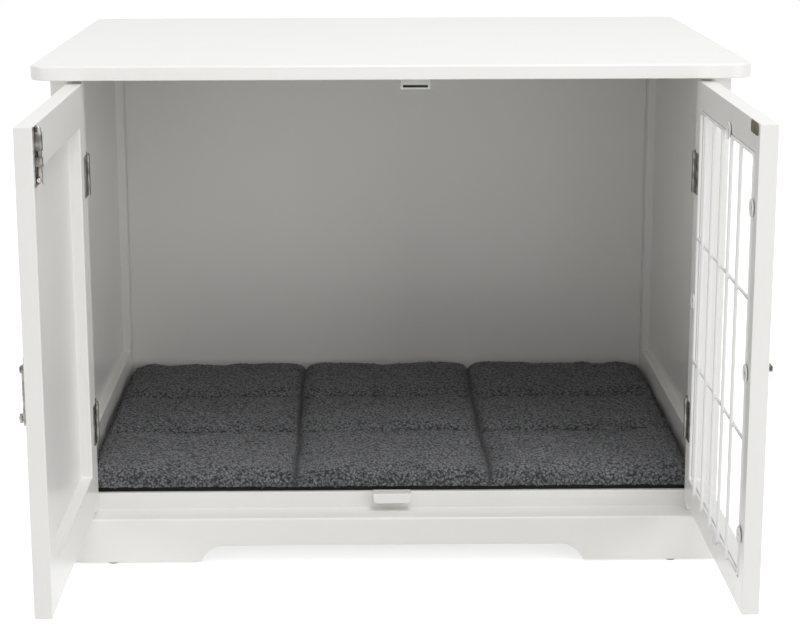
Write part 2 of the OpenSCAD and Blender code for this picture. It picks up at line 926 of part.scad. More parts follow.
module wire_bend(s, t, z, turn) {
  on_door(1, s, t, z) rotate([0, 90, 0]) rotate([0, 0, turn])
    rotate_extrude(angle = 90) translate([wire_bend_r, 0]) circle(r = wire_r);
}

// A bent outline with level wires in its plane and uprights welded over them
module grille() {
  b = wire_bend_r;
  s0 = grille_s0;
  s1 = grille_s1;
  z0 = grille_z0;
  z1 = grille_z1;
  color(white) {
    for (s = [s0, s1]) {
      upright_wire(s, wire_t, z0 + b, z1 - b);
    }
    for (z = [z0, z1]) {
      level_wire(s0 + b, s1 - b, wire_t, z);
    }
    wire_bend(s0 + b, wire_t, z0 + b, 0);
    wire_bend(s0 + b, wire_t, z1 - b, 90);
    wire_bend(s1 - b, wire_t, z1 - b, 180);
    wire_bend(s1 - b, wire_t, z0 + b, 270);
    for (k = [1:wire_rows - 2]) {
      level_wire(s0, s1, wire_t, z0 + (z1 - z0) * k / (wire_rows - 1));
    }
    for (k = [1:wire_columns - 2]) {
      upright_wire(s0 + (s1 - s0) * k / (wire_columns - 1), wire_t + 0.3 - 2 * wire_r,
        z0 - wire_r, z1 + wire_r);
    }
  }
}

// Dished discs with a foot beside the wire
module grille_clips() {
  color(white) clip_places(0) difference() {
    union() {
      cylinder(r = 3, h = clip_foot);
      translate([0, 0, clip_foot - 0.6]) cylinder(r = clip_r, h = clip_t);
    }
    translate([0, 0, clip_foot]) cylinder(r1 = head_r, r2 = clip_r - 2, h = clip_t - 0.59);
    translate([0, 0, clip_foot]) screw_hole(short_screw);
  }
}

module clip_screws() {
  color(white) clip_places(clip_foot) screw(short_screw);
}

module right_door_leaves() {
  door_leaves(1);
}

module right_door_screws() {
  color(nickel) {
    door_leaf_screw_places(1) screw(short_screw);
    strike_screw_place() screw(short_screw);
    keeper_screw_places() screw(short_screw);
  }
}

module strike_plate() {
  z0 = strike_z1 - strike_h;
  s0 = strike_s - strike_w / 2;
  s1 = strike_s + strike_w / 2;
  color(bronze) difference() {
    union() {
      door_box(1, s0 + 4, s1 - 4, -strike_t, 0, z0, strike_z1);
      door_box(1, s0, s1, -strike_t, 0, z0 + 4, strike_z1 - 4);
      for (s = [s0 + 4, s1 - 4]) {
        for (z = [z0 + 4, strike_z1 - 4]) {
          facing_in(1, s, 0, z) cylinder(r = 4, h = strike_t);
        }
      }
    }
    strike_screw_place() screw_hole(short_screw);
  }
}

// Plate with an open hook that the latch bar drops into
module keeper() {
  s0 = keeper_s - 8;
  s1 = keeper_s + 8;
  lip = latch_out + latch_play;
  color(bright) difference() {
    union() {
      door_box(1, s0, s1, door_t, door_t + plate_t, keeper_z0, latch_z + 27);
      door_box(1, s0, s1, door_t, lip + plate_t, keeper_z0, keeper_z0 + 1.6);
      door_box(1, s0, s1, lip, lip + plate_t, keeper_z0, latch_z);
    }
    keeper_screw_places() screw_hole(short_screw);
  }
}

// Mat

module mat_base() {
  color(dark) round_board(mat_x - 1, mat_y0 + 1, mat_y1 - 1, mat_z0, mat_z1, 12, 35);
}

// Grid lines of the quilting, seams at every NX / 3 and NY / 3
function seam_lines(b, n) = [for (c = [0:2]) for (i = [0:n - 1]) b[c] + (b[c + 1] - b[c]) * i / n, b[3]];
function puff(i, n) = pow(sin(180 * (i % n) / n), 0.55);
function grid_x(i) = seam_lines([-mat_x, -seam_x, seam_x, mat_x], NX / 3)[i];
function grid_y(j) = seam_lines([mat_y0, mat_y0 + seam_front, mat_y0 + seam_front + seam_step, mat_y1], NY / 3)[j];
function tuck(x, y) = (y > (mat_y0 + mat_y1) / 2 ? 11 : 4)
  * pow(abs(x / mat_x * (2 * y - mat_y0 - mat_y1) / (mat_y1 - mat_y0)), 20);
function rim_i(k) = k < NX ? k : k < NX + NY ? NX : k < 2 * NX + NY ? 2 * NX + NY - k : 0;
function rim_j(k) = k < NX ? 0 : k < NX + NY ? k - NX : k < 2 * NX + NY ? NY : RIM - k;
function skin(x, y, z, inset) = [
  x * (1 - inset / mat_x) - sign(x) * tuck(x, y),
  y - mid_y - sign(2 * y - mat_y0 - mat_y1) * tuck(x, y)
    - inset * (2 * y - mat_y0 - mat_y1) / (mat_y1 - mat_y0),
  z
];
function crown(i, j) = mat_z2 - mat_dip * (1 - puff(i, NX / 3) * puff(j, NY / 3));
function top_id(k) = rim_i(k) * (NY + 1) + rim_j(k);

module quilted_mat() {
  g = (NX + 1) * (NY + 1);
  top = [for (i = [0:NX]) for (j = [0:NY]) skin(grid_x(i), grid_y(j), crown(i, j), 5)];
  mid = [for (k = [0:RIM - 1]) skin(grid_x(rim_i(k)), grid_y(rim_j(k)), (mat_z1 + mat_z2 - mat_dip) / 2, 0)];
  foot = [for (k = [0:RIM - 1]) skin(grid_x(rim_i(k)), grid_y(rim_j(k)), mat_z1, 3)];
  quilt = [for (i = [0:NX - 1]) for (j = [0:NY - 1]) for (h = [0, 1])
    let (a = i * (NY + 1) + j)
    h == 0 ? [a, a + 1, a + NY + 2] : [a, a + NY + 2, a + NY + 1]];
  upper = [for (k = [0:RIM - 1]) for (h = [0, 1])
    let (n = (k + 1) % RIM)
    h == 0 ? [top_id(k), top_id(n), g + n] : [top_id(k), g + n, g + k]];
  lower = [for (k = [0:RIM - 1]) for (h = [0, 1])
    let (n = (k + 1) % RIM)
    h == 0 ? [g + k, g + n, g + RIM + n] : [g + k, g + RIM + n, g + RIM + k]];
  color(charcoal) polyhedron(
    points = concat(top, mid, foot),
    faces = concat(quilt, upper, lower, [[for (k = [0:RIM - 1]) g + RIM + k]]));
}

top_panel();
left_post();
right_post();
left_side_front_stile();
left_side_rear_stile();
left_side_top_rail();
left_side_bottom_rail();
left_side_panel();
right_side_front_stile();
right_side_rear_stile();
right_side_top_rail();
right_side_bottom_rail();
right_side_panel();
back_panel();
rear_base_rail();
floor_panel();
floor_side_battens();
floor_bearers();
floor_front_rail();
ledge_board();
plinth_board();
plinth_returns();
corner_blocks();
glides();
top_battens();
batten_screws();
back_screws();
catch_housing();
catch_magnet();
catch_screws();
door_stop();
stop_dowels();
post_leaves();
hinge_pins();
post_leaf_screws();
left_hinge_stile();
left_free_stile();
left_top_rail();
left_bottom_rail();
left_panel();
left_door_leaves();
left_door_screws();
bolt_plate();
latch_plate();
bolt_rod();
latch_bar();
right_hinge_stile();
right_free_stile();
right_top_rail();
right_bottom_rail();
grille();
grille_clips();
clip_screws();
right_door_leaves();
right_door_screws();
strike_plate();
keeper();
mat_base();
quilted_mat();
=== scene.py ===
import math
import random
from contextlib import contextmanager

import bmesh
import bpy
import numpy as np
from mathutils import Matrix, Vector, noise


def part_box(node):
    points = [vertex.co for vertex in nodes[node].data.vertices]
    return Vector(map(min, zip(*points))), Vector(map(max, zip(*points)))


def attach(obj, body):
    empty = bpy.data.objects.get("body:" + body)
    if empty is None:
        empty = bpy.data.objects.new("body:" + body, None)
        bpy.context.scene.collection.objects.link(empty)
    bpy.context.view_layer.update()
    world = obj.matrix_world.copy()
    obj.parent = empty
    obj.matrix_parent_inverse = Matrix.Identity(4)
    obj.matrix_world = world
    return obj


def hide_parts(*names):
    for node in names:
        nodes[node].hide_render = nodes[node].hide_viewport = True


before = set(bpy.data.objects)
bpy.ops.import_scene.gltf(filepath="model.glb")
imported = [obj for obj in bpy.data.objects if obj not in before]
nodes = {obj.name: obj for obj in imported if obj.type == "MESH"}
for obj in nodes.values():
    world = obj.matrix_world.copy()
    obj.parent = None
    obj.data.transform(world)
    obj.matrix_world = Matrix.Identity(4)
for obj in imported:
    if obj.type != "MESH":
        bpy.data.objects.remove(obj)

scene = bpy.context.scene
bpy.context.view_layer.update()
print("frame loaded:", len(nodes), "nodes")


def placed(name, data):
    obj = bpy.data.objects.new(name, data)
    scene.collection.objects.link(obj)
    return obj


# Camera, set from the photograph's perspective
camera = {"place": (-0.0384, -2.6883, 1.0079), "yaw": 0.479, "down": 12.141, "roll": -0.185, "lens": 84.93,
          "sensor": 36.0, "shift": (0.0259, -0.0906), "clip": (0.05, 50.0)}


def addCamera():
    yaw, down, roll = (math.radians(camera[k]) for k in ("yaw", "down", "roll"))
    ahead = Vector((math.sin(yaw) * math.cos(down), math.cos(yaw) * math.cos(down), -math.sin(down)))
    right = Vector((math.cos(yaw), -math.sin(yaw), 0))
    up = right.cross(ahead)
    side = right * math.cos(roll) + up * math.sin(roll)
    top = -right * math.sin(roll) + up * math.cos(roll)
    data = bpy.data.cameras.new("camera")
    data.sensor_width, data.lens = camera["sensor"], camera["lens"]
    data.shift_x, data.shift_y = camera["shift"]
    data.clip_start, data.clip_end = camera["clip"]
    obj = placed("camera", data)
    obj.matrix_world = Matrix.Translation(camera["place"]) @ Matrix((side, top, -ahead)).transposed().to_4x4()
    scene.camera = obj


addCamera()
scene.view_settings.view_transform = "Standard"


# Short forms for node trees
def feed(tree, value, socket):
    if isinstance(value, bpy.types.NodeSocket):
        tree.links.new(value, socket)
    else:
        socket.default_value = value


def join(tree, *pairs):
    for start, end in pairs:
        tree.links.new(start, end)


# A node with these inputs, each of them a value, a socket or a list of sockets
def nodeOf(tree, kind, inputs, **settings):
    node = tree.nodes.new(kind)
    for key, value in settings.items():
        setattr(node, key, value)
    for key, value in inputs.items():
        for one in (value if isinstance(value, list) else [value]):
            feed(tree, one, node.inputs[key])
    return node


def step(tree, kind, inputs, **settings):
    return nodeOf(tree, kind, inputs, **settings).outputs[0]


def addSocket(tree, label, way, kind):
    return tree.interface.new_socket(name=label, in_out=way, socket_type="NodeSocket" + kind)


grey = (0.5, 0.5, 0.5, 1.0)
skinOutputs = {"Color": "Color", "Roughness": "Float", "Height": "Float"}


# Group of shader nodes with these inputs, drawn in the object's own coordinates
def newGroup(name, inputs):
    tree = bpy.data.node_groups.new(name, "ShaderNodeTree")
    for label, value in inputs.items():
        kind = "Float"
        if isinstance(value, tuple):
            kind = "Color" if len(value) == 4 else "Vector"
        addSocket(tree, label, "INPUT", kind).default_value = value
    for label, kind in skinOutputs.items():
        addSocket(tree, label, "OUTPUT", kind)
    start, end = tree.nodes.new("NodeGroupInput"), tree.nodes.new("NodeGroupOutput")
    point = tree.nodes.new("ShaderNodeTexCoord").outputs["Object"]
    return tree, start.outputs, end.inputs, point


def endGroup(tree, out, colour, rough, height):
    join(tree, (colour, out["Color"]), (rough, out["Roughness"]), (height, out["Height"]))
    return tree


def mixColours(tree, factor, a, b):
    return nodeOf(tree, "ShaderNodeMix", {0: factor, 6: a, 7: b}, data_type="RGBA").outputs[2]


def sums(tree, operation, a, b=0.0, c=0.0):
    return step(tree, "ShaderNodeMath", {0: a, 1: b, 2: c}, operation=operation)


def plus(tree, a, b):
    return sums(tree, "ADD", a, b)


def times(tree, a, b):
    return sums(tree, "MULTIPLY", a, b)


def ranged(tree, value, low, high, toLow, toHigh):
    return step(tree, "ShaderNodeMapRange", {0: value, 1: low, 2: high, 3: toLow, 4: toHigh})


def noiseOf(tree, vector, scale, detail=2.0, rough=0.5, warp=0.0):
    facts = {"Detail": detail, "Roughness": rough, "Distortion": warp, "Scale": scale, "Vector": vector}
    return step(tree, "ShaderNodeTexNoise", facts)


def stretched(tree, vector, scale):
    return step(tree, "ShaderNodeMapping", {"Vector": vector, "Scale": scale})


# Rolled satin paint: fine stipple, long soft waves from the roller, a faint cloud of tone
def buildPaintSkin():
    inputs = {"Paint": grey, "Tone": grey, "Stipple": 900.0, "Gloss": 0.3}
    tree, put, out, point = newGroup("paintSkin", inputs)
    cloud = noiseOf(tree, point, 2.6, 3.0, 0.55)
    fine = noiseOf(tree, point, put["Stipple"], 2.0, 0.6)
    level = noiseOf(tree, point, 26.0)
    colour = mixColours(tree, ranged(tree, cloud, 0.35, 0.7, 0.0, 0.3), put["Paint"], put["Tone"])
    rough = plus(tree, put["Gloss"], ranged(tree, level, 0.3, 0.7, -0.015, 0.03))
    relief = sums(tree, "MULTIPLY_ADD", level, 0.6, times(tree, fine, 0.2))
    return endGroup(tree, out, colour, rough, relief)


# Brushed or plated metal: blots of a darker colour are painted dark reflections, and the same blots dull the
# surface a little
def buildMetalSkin():
    inputs = {"Metal": grey, "DarkReflection": grey, "Gloss": 0.25, "Grain": 0.12}
    tree, put, out, point = newGroup("metalSkin", inputs)
    brush = noiseOf(tree, stretched(tree, point, (900.0, 900.0, 70.0)), 2.0, 3.0, 0.65)
    dullAndReflectionBlot = noiseOf(tree, point, 70.0, 2.0, 0.45)
    # The darker colour in the blots is painted reflection: dark surroundings mirrored in the metal
    colour = mixColours(tree, ranged(tree, dullAndReflectionBlot, 0.40, 0.66, 0.0, 0.75), put["Metal"], put["DarkReflection"])
    rough = sums(tree, "MULTIPLY_ADD", brush, put["Grain"], put["Gloss"])
    rough = plus(tree, rough, ranged(tree, dullAndReflectionBlot, 0.4, 0.8, 0.0, 0.12))
    return endGroup(tree, out, colour, rough, brush)


# Planed softwood, the grain running along Run's smallest number
def buildWoodGrain():
    tree, put, out, point = newGroup("woodGrain", {"Light": grey, "Dark": grey, "Run": (1.2, 12.0, 12.0)})
    along = stretched(tree, point, put["Run"])
    rings = noiseOf(tree, along, 9.0, 4.0, 0.6, 1.2)
    pores = noiseOf(tree, along, 70.0, 2.0, 0.7)
    colour = mixColours(tree, ranged(tree, rings, 0.35, 0.65, 0.0, 1.0), put["Light"], put["Dark"])
    colour = mixColours(tree, ranged(tree, pores, 0.6, 0.8, 0.0, 0.5), colour, put["Dark"])
    return endGroup(tree, out, colour, ranged(tree, pores, 0.3, 0.7, 0.55, 0.75), plus(tree, rings, pores))


# Curly fleece: small clumps of curls, the roots between the clumps coloured darker as painted shade, and
# painted shade along the seams
def buildPileSkin():
    tree, put, out, point = newGroup("pileSkin", {"ShadedRoot": grey, "Tip": grey, "Curl": 230.0})
    wobble = nodeOf(tree, "ShaderNodeTexNoise", {"Scale": 160.0, "Vector": point}).outputs["Color"]
    shift = {0: wobble, 1: (0.006, 0.006, 0.006), 2: point}
    shift = step(tree, "ShaderNodeVectorMath", shift, operation="MULTIPLY_ADD")
    cell = step(tree, "ShaderNodeTexVoronoi", {"Vector": shift, "Scale": put["Curl"]})
    lump = ranged(tree, cell, 0.12, 0.72, 1.0, 0.0)
    hair = noiseOf(tree, point, 1500.0, 3.0, 0.7)
    patch = noiseOf(tree, point, 38.0, 3.0, 0.55)
    # Between the clumps the colour falls to the darker root colour: painted shade between the curls
    lift = times(tree, lump, ranged(tree, hair, 0.2, 0.8, 0.55, 1.25))
    lift = times(tree, lift, ranged(tree, patch, 0.3, 0.7, 0.8, 1.15))
    # The seam mask darkens the colour: painted shade along the seams
    seam = nodeOf(tree, "ShaderNodeAttribute", {}, attribute_name="seam").outputs["Fac"]
    lift = times(tree, lift, sums(tree, "SUBTRACT", 1.0, times(tree, seam, 0.85)))
    colour = mixColours(tree, lift, put["ShadedRoot"], put["Tip"])
    rough = ranged(tree, hair, 0.2, 0.8, 0.82, 0.98)
    return endGroup(tree, out, colour, rough, sums(tree, "MULTIPLY_ADD", hair, 0.5, lump))


# Black woven cloth under the mat
def buildClothSkin():
    tree, put, out, point = newGroup("clothSkin", {"Thread": grey, "Gap": grey, "Count": 400.0})
    facts = {"Vector": point, "Scale": put["Count"], "Distortion": 1.5}
    waves = [nodeOf(tree, "ShaderNodeTexWave", facts, bands_direction=axis).outputs["Fac"] for axis in "XYZ"]
    weave = times(tree, waves[0], sums(tree, "MAXIMUM", waves[1], waves[2]))
    fuzz = noiseOf(tree, point, 500.0, 3.0, 0.7)
    shade = times(tree, ranged(tree, weave, 0.0, 0.6, 0.3, 1.0), ranged(tree, fuzz, 0.3, 0.7, 0.6, 1.1))
    colour = mixColours(tree, shade, put["Gap"], put["Thread"])
    return endGroup(tree, out, colour, ranged(tree, fuzz, 0.3, 0.7, 0.8, 0.95), weave)


# Moulded plastic with a fine spark texture
def buildPlasticSkin():
    tree, put, out, point = newGroup("plasticSkin", {"Plastic": grey, "Tone": grey, "Gloss": 0.45})
    spark = noiseOf(tree, point, 2200.0, 2.0, 0.6)
    cloud = noiseOf(tree, point, 55.0, 3.0, 0.5)
    colour = mixColours(tree, ranged(tree, cloud, 0.35, 0.7, 0.0, 0.8), put["Plastic"], put["Tone"])
    rough = plus(tree, put["Gloss"], ranged(tree, spark, 0.3, 0.7, -0.05, 0.08))
    return endGroup(tree, out, colour, rough, spark)


skins = {"paint": buildPaintSkin(), "metal": buildMetalSkin(), "wood": buildWoodGrain(),
         "pile": buildPileSkin(), "cloth": buildClothSkin(), "plastic": buildPlasticSkin()}


def paint(colour, tone, stipple, gloss, bump, coat, coatRough, slot="white_paint"):
    return {"skin": "paint", "slot": slot, "bump": bump,
            "values": {"Paint": (*colour, 1), "Tone": (*tone, 1), "Stipple": stipple, "Gloss": gloss},
            "plain": {"Coat Weight": coat, "Coat Roughness": coatRough}}


def metal(slot, colour, darkReflection, gloss, grain, bump):
    return {"skin": "metal", "slot": slot, "bump": bump, "plain": {"Metallic": 1.0},
            "values": {"Metal": (*colour, 1), "DarkReflection": (*darkReflection, 1), "Gloss": gloss, "Grain": grain}}


def plastic(slot, colour, tone, gloss, bump):
    return {"skin": "plastic", "slot": slot, "bump": bump, "plain": {},
            "values": {"Plastic": (*colour, 1), "Tone": (*tone, 1), "Gloss": gloss}}


# Each finish: its skin, its slot name, bump strength and depth, values of the skin and of the shader
finishes = {
    "whitePaint": paint((0.865, 0.86, 0.84), (0.80, 0.79, 0.762), stipple=950.0, gloss=0.33,
                        bump=(0.035, 0.0004), coat=0.15, coatRough=0.18),
    "slabPaint": paint((0.885, 0.88, 0.86), (0.845, 0.835, 0.81), stipple=800.0, gloss=0.30,
                       bump=(0.035, 0.0004), coat=0.15, coatRough=0.2),
    "wirePaint": paint((0.84, 0.84, 0.83), (0.76, 0.76, 0.75), stipple=1500.0, gloss=0.30,
                       bump=(0.12, 0.0003), coat=0.4, coatRough=0.12, slot="wire_paint"),
    "rawWood": {"skin": "wood", "slot": "raw_wood", "bump": (0.25, 0.0004), "plain": {},
                "values": {"Light": (0.60, 0.44, 0.26, 1), "Dark": (0.42, 0.27, 0.14, 1)}},
    # Each metal's second colour is a painted dark reflection, laid on in blots by the metal skin
    "satinNickel": metal("nickel", (0.30, 0.29, 0.27), (0.07, 0.066, 0.06), 0.24, 0.16, (0.08, 0.0001)),
    "brightPlate": metal("bright_steel", (0.4, 0.385, 0.36), (0.05, 0.046, 0.04), 0.12, 0.08, (0.05, 0.0001)),
    "bronze": metal("bronze_steel", (0.27, 0.25, 0.20), (0.09, 0.08, 0.06), 0.34, 0.2, (0.12, 0.0002)),
    "darkMagnet": metal("magnet", (0.05, 0.05, 0.052), (0.025, 0.025, 0.025), 0.45, 0.2, (0.2, 0.0002)),
    "catchPlastic": plastic("catch_plastic", (0.60, 0.60, 0.58), (0.52, 0.52, 0.50), 0.42, (0.1, 0.0002)),
    "glidePlastic": plastic("glide_plastic", (0.58, 0.57, 0.54), (0.5, 0.49, 0.46), 0.35, (0.08, 0.0002)),
    # The pile's darker colour is painted shade between its clumps and along its seams
    "curlyPile": {"skin": "pile", "slot": "mat_fabric", "bump": (1.0, 0.004),
                  "values": {"ShadedRoot": (0.052, 0.053, 0.058, 1), "Tip": (0.41, 0.418, 0.442, 1), "Curl": 270.0},
                  "plain": {"Sheen Weight": 0.25, "Sheen Roughness": 0.4, "Specular IOR Level": 0.2}},
    "blackCloth": {"skin": "cloth", "slot": "base_cloth", "bump": (0.4, 0.0004),
                   "values": {"Thread": (0.016, 0.016, 0.017, 1), "Gap": (0.004, 0.004, 0.004, 1)},
                   "plain": {"Specular IOR Level": 0.2}},
}


def makeFinish(name):
    facts = finishes[name]
    material = bpy.data.materials.new(name)
    material.use_nodes = True
    tree = material.node_tree
    shader = tree.nodes["Principled BSDF"]
    skin = nodeOf(tree, "ShaderNodeGroup", facts["values"], node_tree=skins[facts["skin"]]).outputs
    strength, depth = facts["bump"]
    relief = {"Strength": strength, "Distance": depth, "Height": skin["Height"]}
    join(tree, (skin["Color"], shader.inputs["Base Color"]), (skin["Roughness"], shader.inputs["Roughness"]),
         (step(tree, "ShaderNodeBump", relief), shader.inputs["Normal"]))
    for key, value in facts["plain"].items():
        shader.inputs[key].default_value = value
    return material


materials = {name: makeFinish(name) for name in finishes}
print("finishes made:", len(materials))


# A new piece of the object, with its finish, its body and the CAD nodes that it stands for
def newPiece(name, mesh, finish, body, *stoodFor):
    obj = placed(name, mesh)
    mesh.materials.clear()
    mesh.materials.append(materials[finish])
    for face in mesh.polygons:
        face.material_index = 0
    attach(obj, body)
    if stoodFor:
        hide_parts(*stoodFor)
    return obj


# Opens a mesh for editing and writes it back
@contextmanager
def edited(mesh):
    build = bmesh.new()
    build.from_mesh(mesh)
    yield build
    build.to_mesh(mesh)
    build.free()


doubleSize, sliverSize, flatAngle = 0.000002, 0.000006, math.radians(0.5)


# Joins doubled points and turns the faces outwards; dissolve joins flat neighbours, slivers go where asked
def tidyMesh(mesh, dissolve=False, slivers=False):
    size = sliverSize if slivers else doubleSize
    with edited(mesh) as build:
        if slivers:
            bmesh.ops.dissolve_degenerate(build, dist=size, edges=build.edges)
        bmesh.ops.remove_doubles(build, verts=build.verts, dist=size)
        if dissolve:
            bmesh.ops.dissolve_limit(build, angle_limit=flatAngle, verts=build.verts, edges=build.edges)
        bmesh.ops.recalc_face_normals(build, faces=build.faces)


def fillHoles(build):
    edges = [e for e in build.edges if e.is_boundary]
    if edges:
        bmesh.ops.holes_fill(build, edges=edges, sides=0)


def meshOf(name, verts, faces):
    mesh = bpy.data.meshes.new(name)
    mesh.from_pydata([tuple(v) for v in verts], [], faces)
    tidyMesh(mesh)
    return mesh


# The mesh of a helper object with its modifiers applied; the helper goes
def baked(obj, name):
    graph = bpy.context.evaluated_depsgraph_get()
    graph.update()
    made = bpy.data.meshes.new_from_object(obj.evaluated_get(graph), depsgraph=graph)
    made.name = name
    obj.modifiers.clear()
    bpy.data.objects.remove(obj)
    return made


def applied(mesh, kind, **values):
    obj = placed("helper", mesh)
    modifier = obj.modifiers.new(kind, kind)
    for key, value in values.items():
        setattr(modifier, key, value)
    return baked(obj, mesh.name)


# Round edges that catch the light; weights reads each edge's own share of the width
def rounded(mesh, width, segments=3, weights=False, angle=35):
    limit = "WEIGHT" if weights else "ANGLE"
    return applied(mesh, "BEVEL", width=width, segments=segments, limit_method=limit,
                   angle_limit=math.radians(angle), use_clamp_overlap=False)


def shaded(mesh, sharp=42):
    mesh.shade_smooth()
    mesh.set_sharp_from_angle(angle=math.radians(sharp))
    return applied(mesh, "WEIGHTED_NORMAL", keep_sharp=True)


def corners(low, high):
    verts = [(x, y, z) for x in (low[0], high[0]) for y in (low[1], high[1]) for z in (low[2], high[2])]
    faces = [(0, 1, 3, 2), (4, 6, 7, 5), (0, 4, 5, 1), (2, 3, 7, 6), (0, 2, 6, 4), (1, 5, 7, 3)]
    return verts, faces


def weighEdges(mesh, share):
    layer = mesh.attributes.new("bevel_weight_edge", "FLOAT", "EDGE")
    for edge in mesh.edges:
        a, b = (mesh.vertices[i].co for i in edge.vertices)
        layer.data[edge.index].value = share(a, b)


# A board as large as its CAD node
def makeBoard(node, body, edge=0.0008):
    mesh = meshOf(node + "_board", *corners(*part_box(node)))
    newPiece(node + "_board", shaded(rounded(mesh, edge)), "whitePaint", body, node)


# The CAD node's own shape with its triangles joined, small round edges and smooth barrels
def polishNode(node, finish, body, edge=0.0002):
    mesh = nodes[node].data.copy()
    tidyMesh(mesh, dissolve=True)
    mesh = rounded(mesh, edge, 2, angle=40)
    newPiece(node + "_fine", shaded(mesh, 40), finish, body, node)


# Outline and opening of a frame of four boards, each as (yLow, yHigh, zLow, zHigh)
def ringOf(names):
    low, high, top, bottom = (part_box(names[side]) for side in ("low", "high", "top", "bottom"))
    return (low[0].y, high[1].y, low[0].z, low[1].z), (low[1].y, high[0].y, bottom[1].z, top[0].z)


# A frame of two stiles and two rails: rectangles of (x, yLow, yHigh, zLow, zHigh) joined in a ring, rounded
# as one and then sawn at the joints, so the joints are flush
def makeFrame(loops, names, body, edge):
    saw = 0.00002
    verts, faces = [], []
    for x, y0, y1, z0, z1 in loops:
        verts += [(x, y0, z0), (x, y1, z0), (x, y1, z1), (x, y0, z1)]
    n = len(loops)
    for k in range(n):
        m = (k + 1) % n
        faces += [(4 * k + i, 4 * k + j, 4 * m + j, 4 * m + i) for i, j in ((0, 1), (1, 2), (2, 3), (3, 0))]
    whole = rounded(meshOf("frame", verts, faces), edge)
    _, y0, y1, z0, z1 = min(loops, key=lambda loop: loop[2] - loop[1])
    mid = (z0 + z1) / 2
    pastLow, pastHigh = ((0, y0 + saw, 0), (0, -1, 0)), ((0, y1 - saw, 0), (0, 1, 0))
    cuts = {"low": [((0, y0 + saw, 0), (0, 1, 0))], "high": [((0, y1 - saw, 0), (0, -1, 0))],
            "top": [pastLow, pastHigh, ((0, 0, mid), (0, 0, -1))],
            "bottom": [pastLow, pastHigh, ((0, 0, mid), (0, 0, 1))]}
    for side, node in names.items():
        mesh = whole.copy()
        mesh.name = node + "_board"
        with edited(mesh) as build:
            for place, away in cuts[side]:
                parts = build.verts[:] + build.edges[:] + build.faces[:]
                bmesh.ops.bisect_plane(build, geom=parts, plane_co=place, plane_no=away, clear_outer=True)
                fillHoles(build)
        newPiece(node + "_board", shaded(mesh), "whitePaint", body, node)


# Plan of a board with round corners, drawn in by an inset
def planOf(low, high, front, rear, inset, steps=10):
    points = []
    for side, end, r, turn in ((1, 0, front, -90), (1, 1, rear, 0), (-1, 1, rear, 90), (-1, 0, front, 180)):
        x = side * (high[0] - r)
        y = high[1] - r if end else low[1] + r
        for k in range(steps + 1):
            t = math.radians(turn + 90 * k / steps)
            points.append((x + (r - inset) * math.cos(t), y + (r - inset) * math.sin(t)))
    return points


# The same, with its lower and upper edges rounded
def plumpBoard(name, low, high, front, rear, under, over, steps=5):
    angles = [math.pi / 2 * k / steps for k in range(steps + 1)]
    rows = [(under * (1 - math.sin(a)), low[2] + under * (1 - math.cos(a))) for a in angles]
    rows += [(over * (1 - math.cos(a)), high[2] - over * (1 - math.sin(a))) for a in angles]
    verts = [(x, y, z) for inset, z in rows for x, y in planOf(low, high, front, rear, inset)]
    n = len(verts) // len(rows)
    faces = [(r * n + k, r * n + (k + 1) % n, (r + 1) * n + (k + 1) % n, (r + 1) * n + k)
             for r in range(len(rows) - 1) for k in range(n)]
    faces += [tuple(range(n))[::-1], tuple(range(len(verts) - n, len(verts)))]
    return meshOf(name, verts, faces)


# Cabinet
slab = {"frontCorner": 0.030, "rearCorner": 0.015, "lowerEdge": 0.0016, "upperEdge": 0.0032}
boltHole = {"x": -0.0137, "y": -0.1237, "radius": 0.004, "depth": 0.010, "sides": 40}


def makeSlab():
    low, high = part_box("top_panel")
    mesh = plumpBoard("topPanel", low, high, slab["frontCorner"], slab["rearCorner"], slab["lowerEdge"],
                      slab["upperEdge"])
    drill = bpy.data.meshes.new("drill")
    with edited(drill) as build:
        bmesh.ops.create_cone(build, cap_ends=True, segments=boltHole["sides"], radius1=boltHole["radius"],
                              radius2=boltHole["radius"], depth=2 * boltHole["depth"],
                              matrix=Matrix.Translation((boltHole["x"], boltHole["y"], low.z)))
    tool = placed("drill", drill)
    mesh = applied(mesh, "BOOLEAN", object=tool, operation="DIFFERENCE", solver="EXACT")
    bpy.data.objects.remove(tool)
    newPiece("topPanel", shaded(mesh), "slabPaint", "cabinet", "top_panel")


def makeSide(side):
    makeBoard(side + "_post", "cabinet", 0.0012)
    base = side + "_side_"
    names = {"low": base + "front_stile", "high": base + "rear_stile", "top": base + "top_rail",
             "bottom": base + "bottom_rail"}
    low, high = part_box(names["low"])
    outer, inner = (low.x, high.x) if side == "left" else (high.x, low.x)
    outline, opening = ringOf(names)
    loops = [(outer, *outline), (outer, *opening), (inner, *opening), (inner, *outline)]
    makeFrame(loops, names, "cabinet", 0.0009)
    makeBoard(base + "panel", "cabinet", 0.0002)


makeSlab()
for side in ("left", "right"):
    makeSide(side)
for name in ("back_panel", "rear_base_rail", "floor_panel", "floor_front_rail"):
    makeBoard(name, "cabinet")

arch = {"centreX": 0.2363, "centreZ": -0.012, "radius": 0.040, "steps": 12}
plinthEdge = {"width": 0.0034, "ends": 0.25, "rear": 0.12, "top": 1.0, "foot": 0.28}


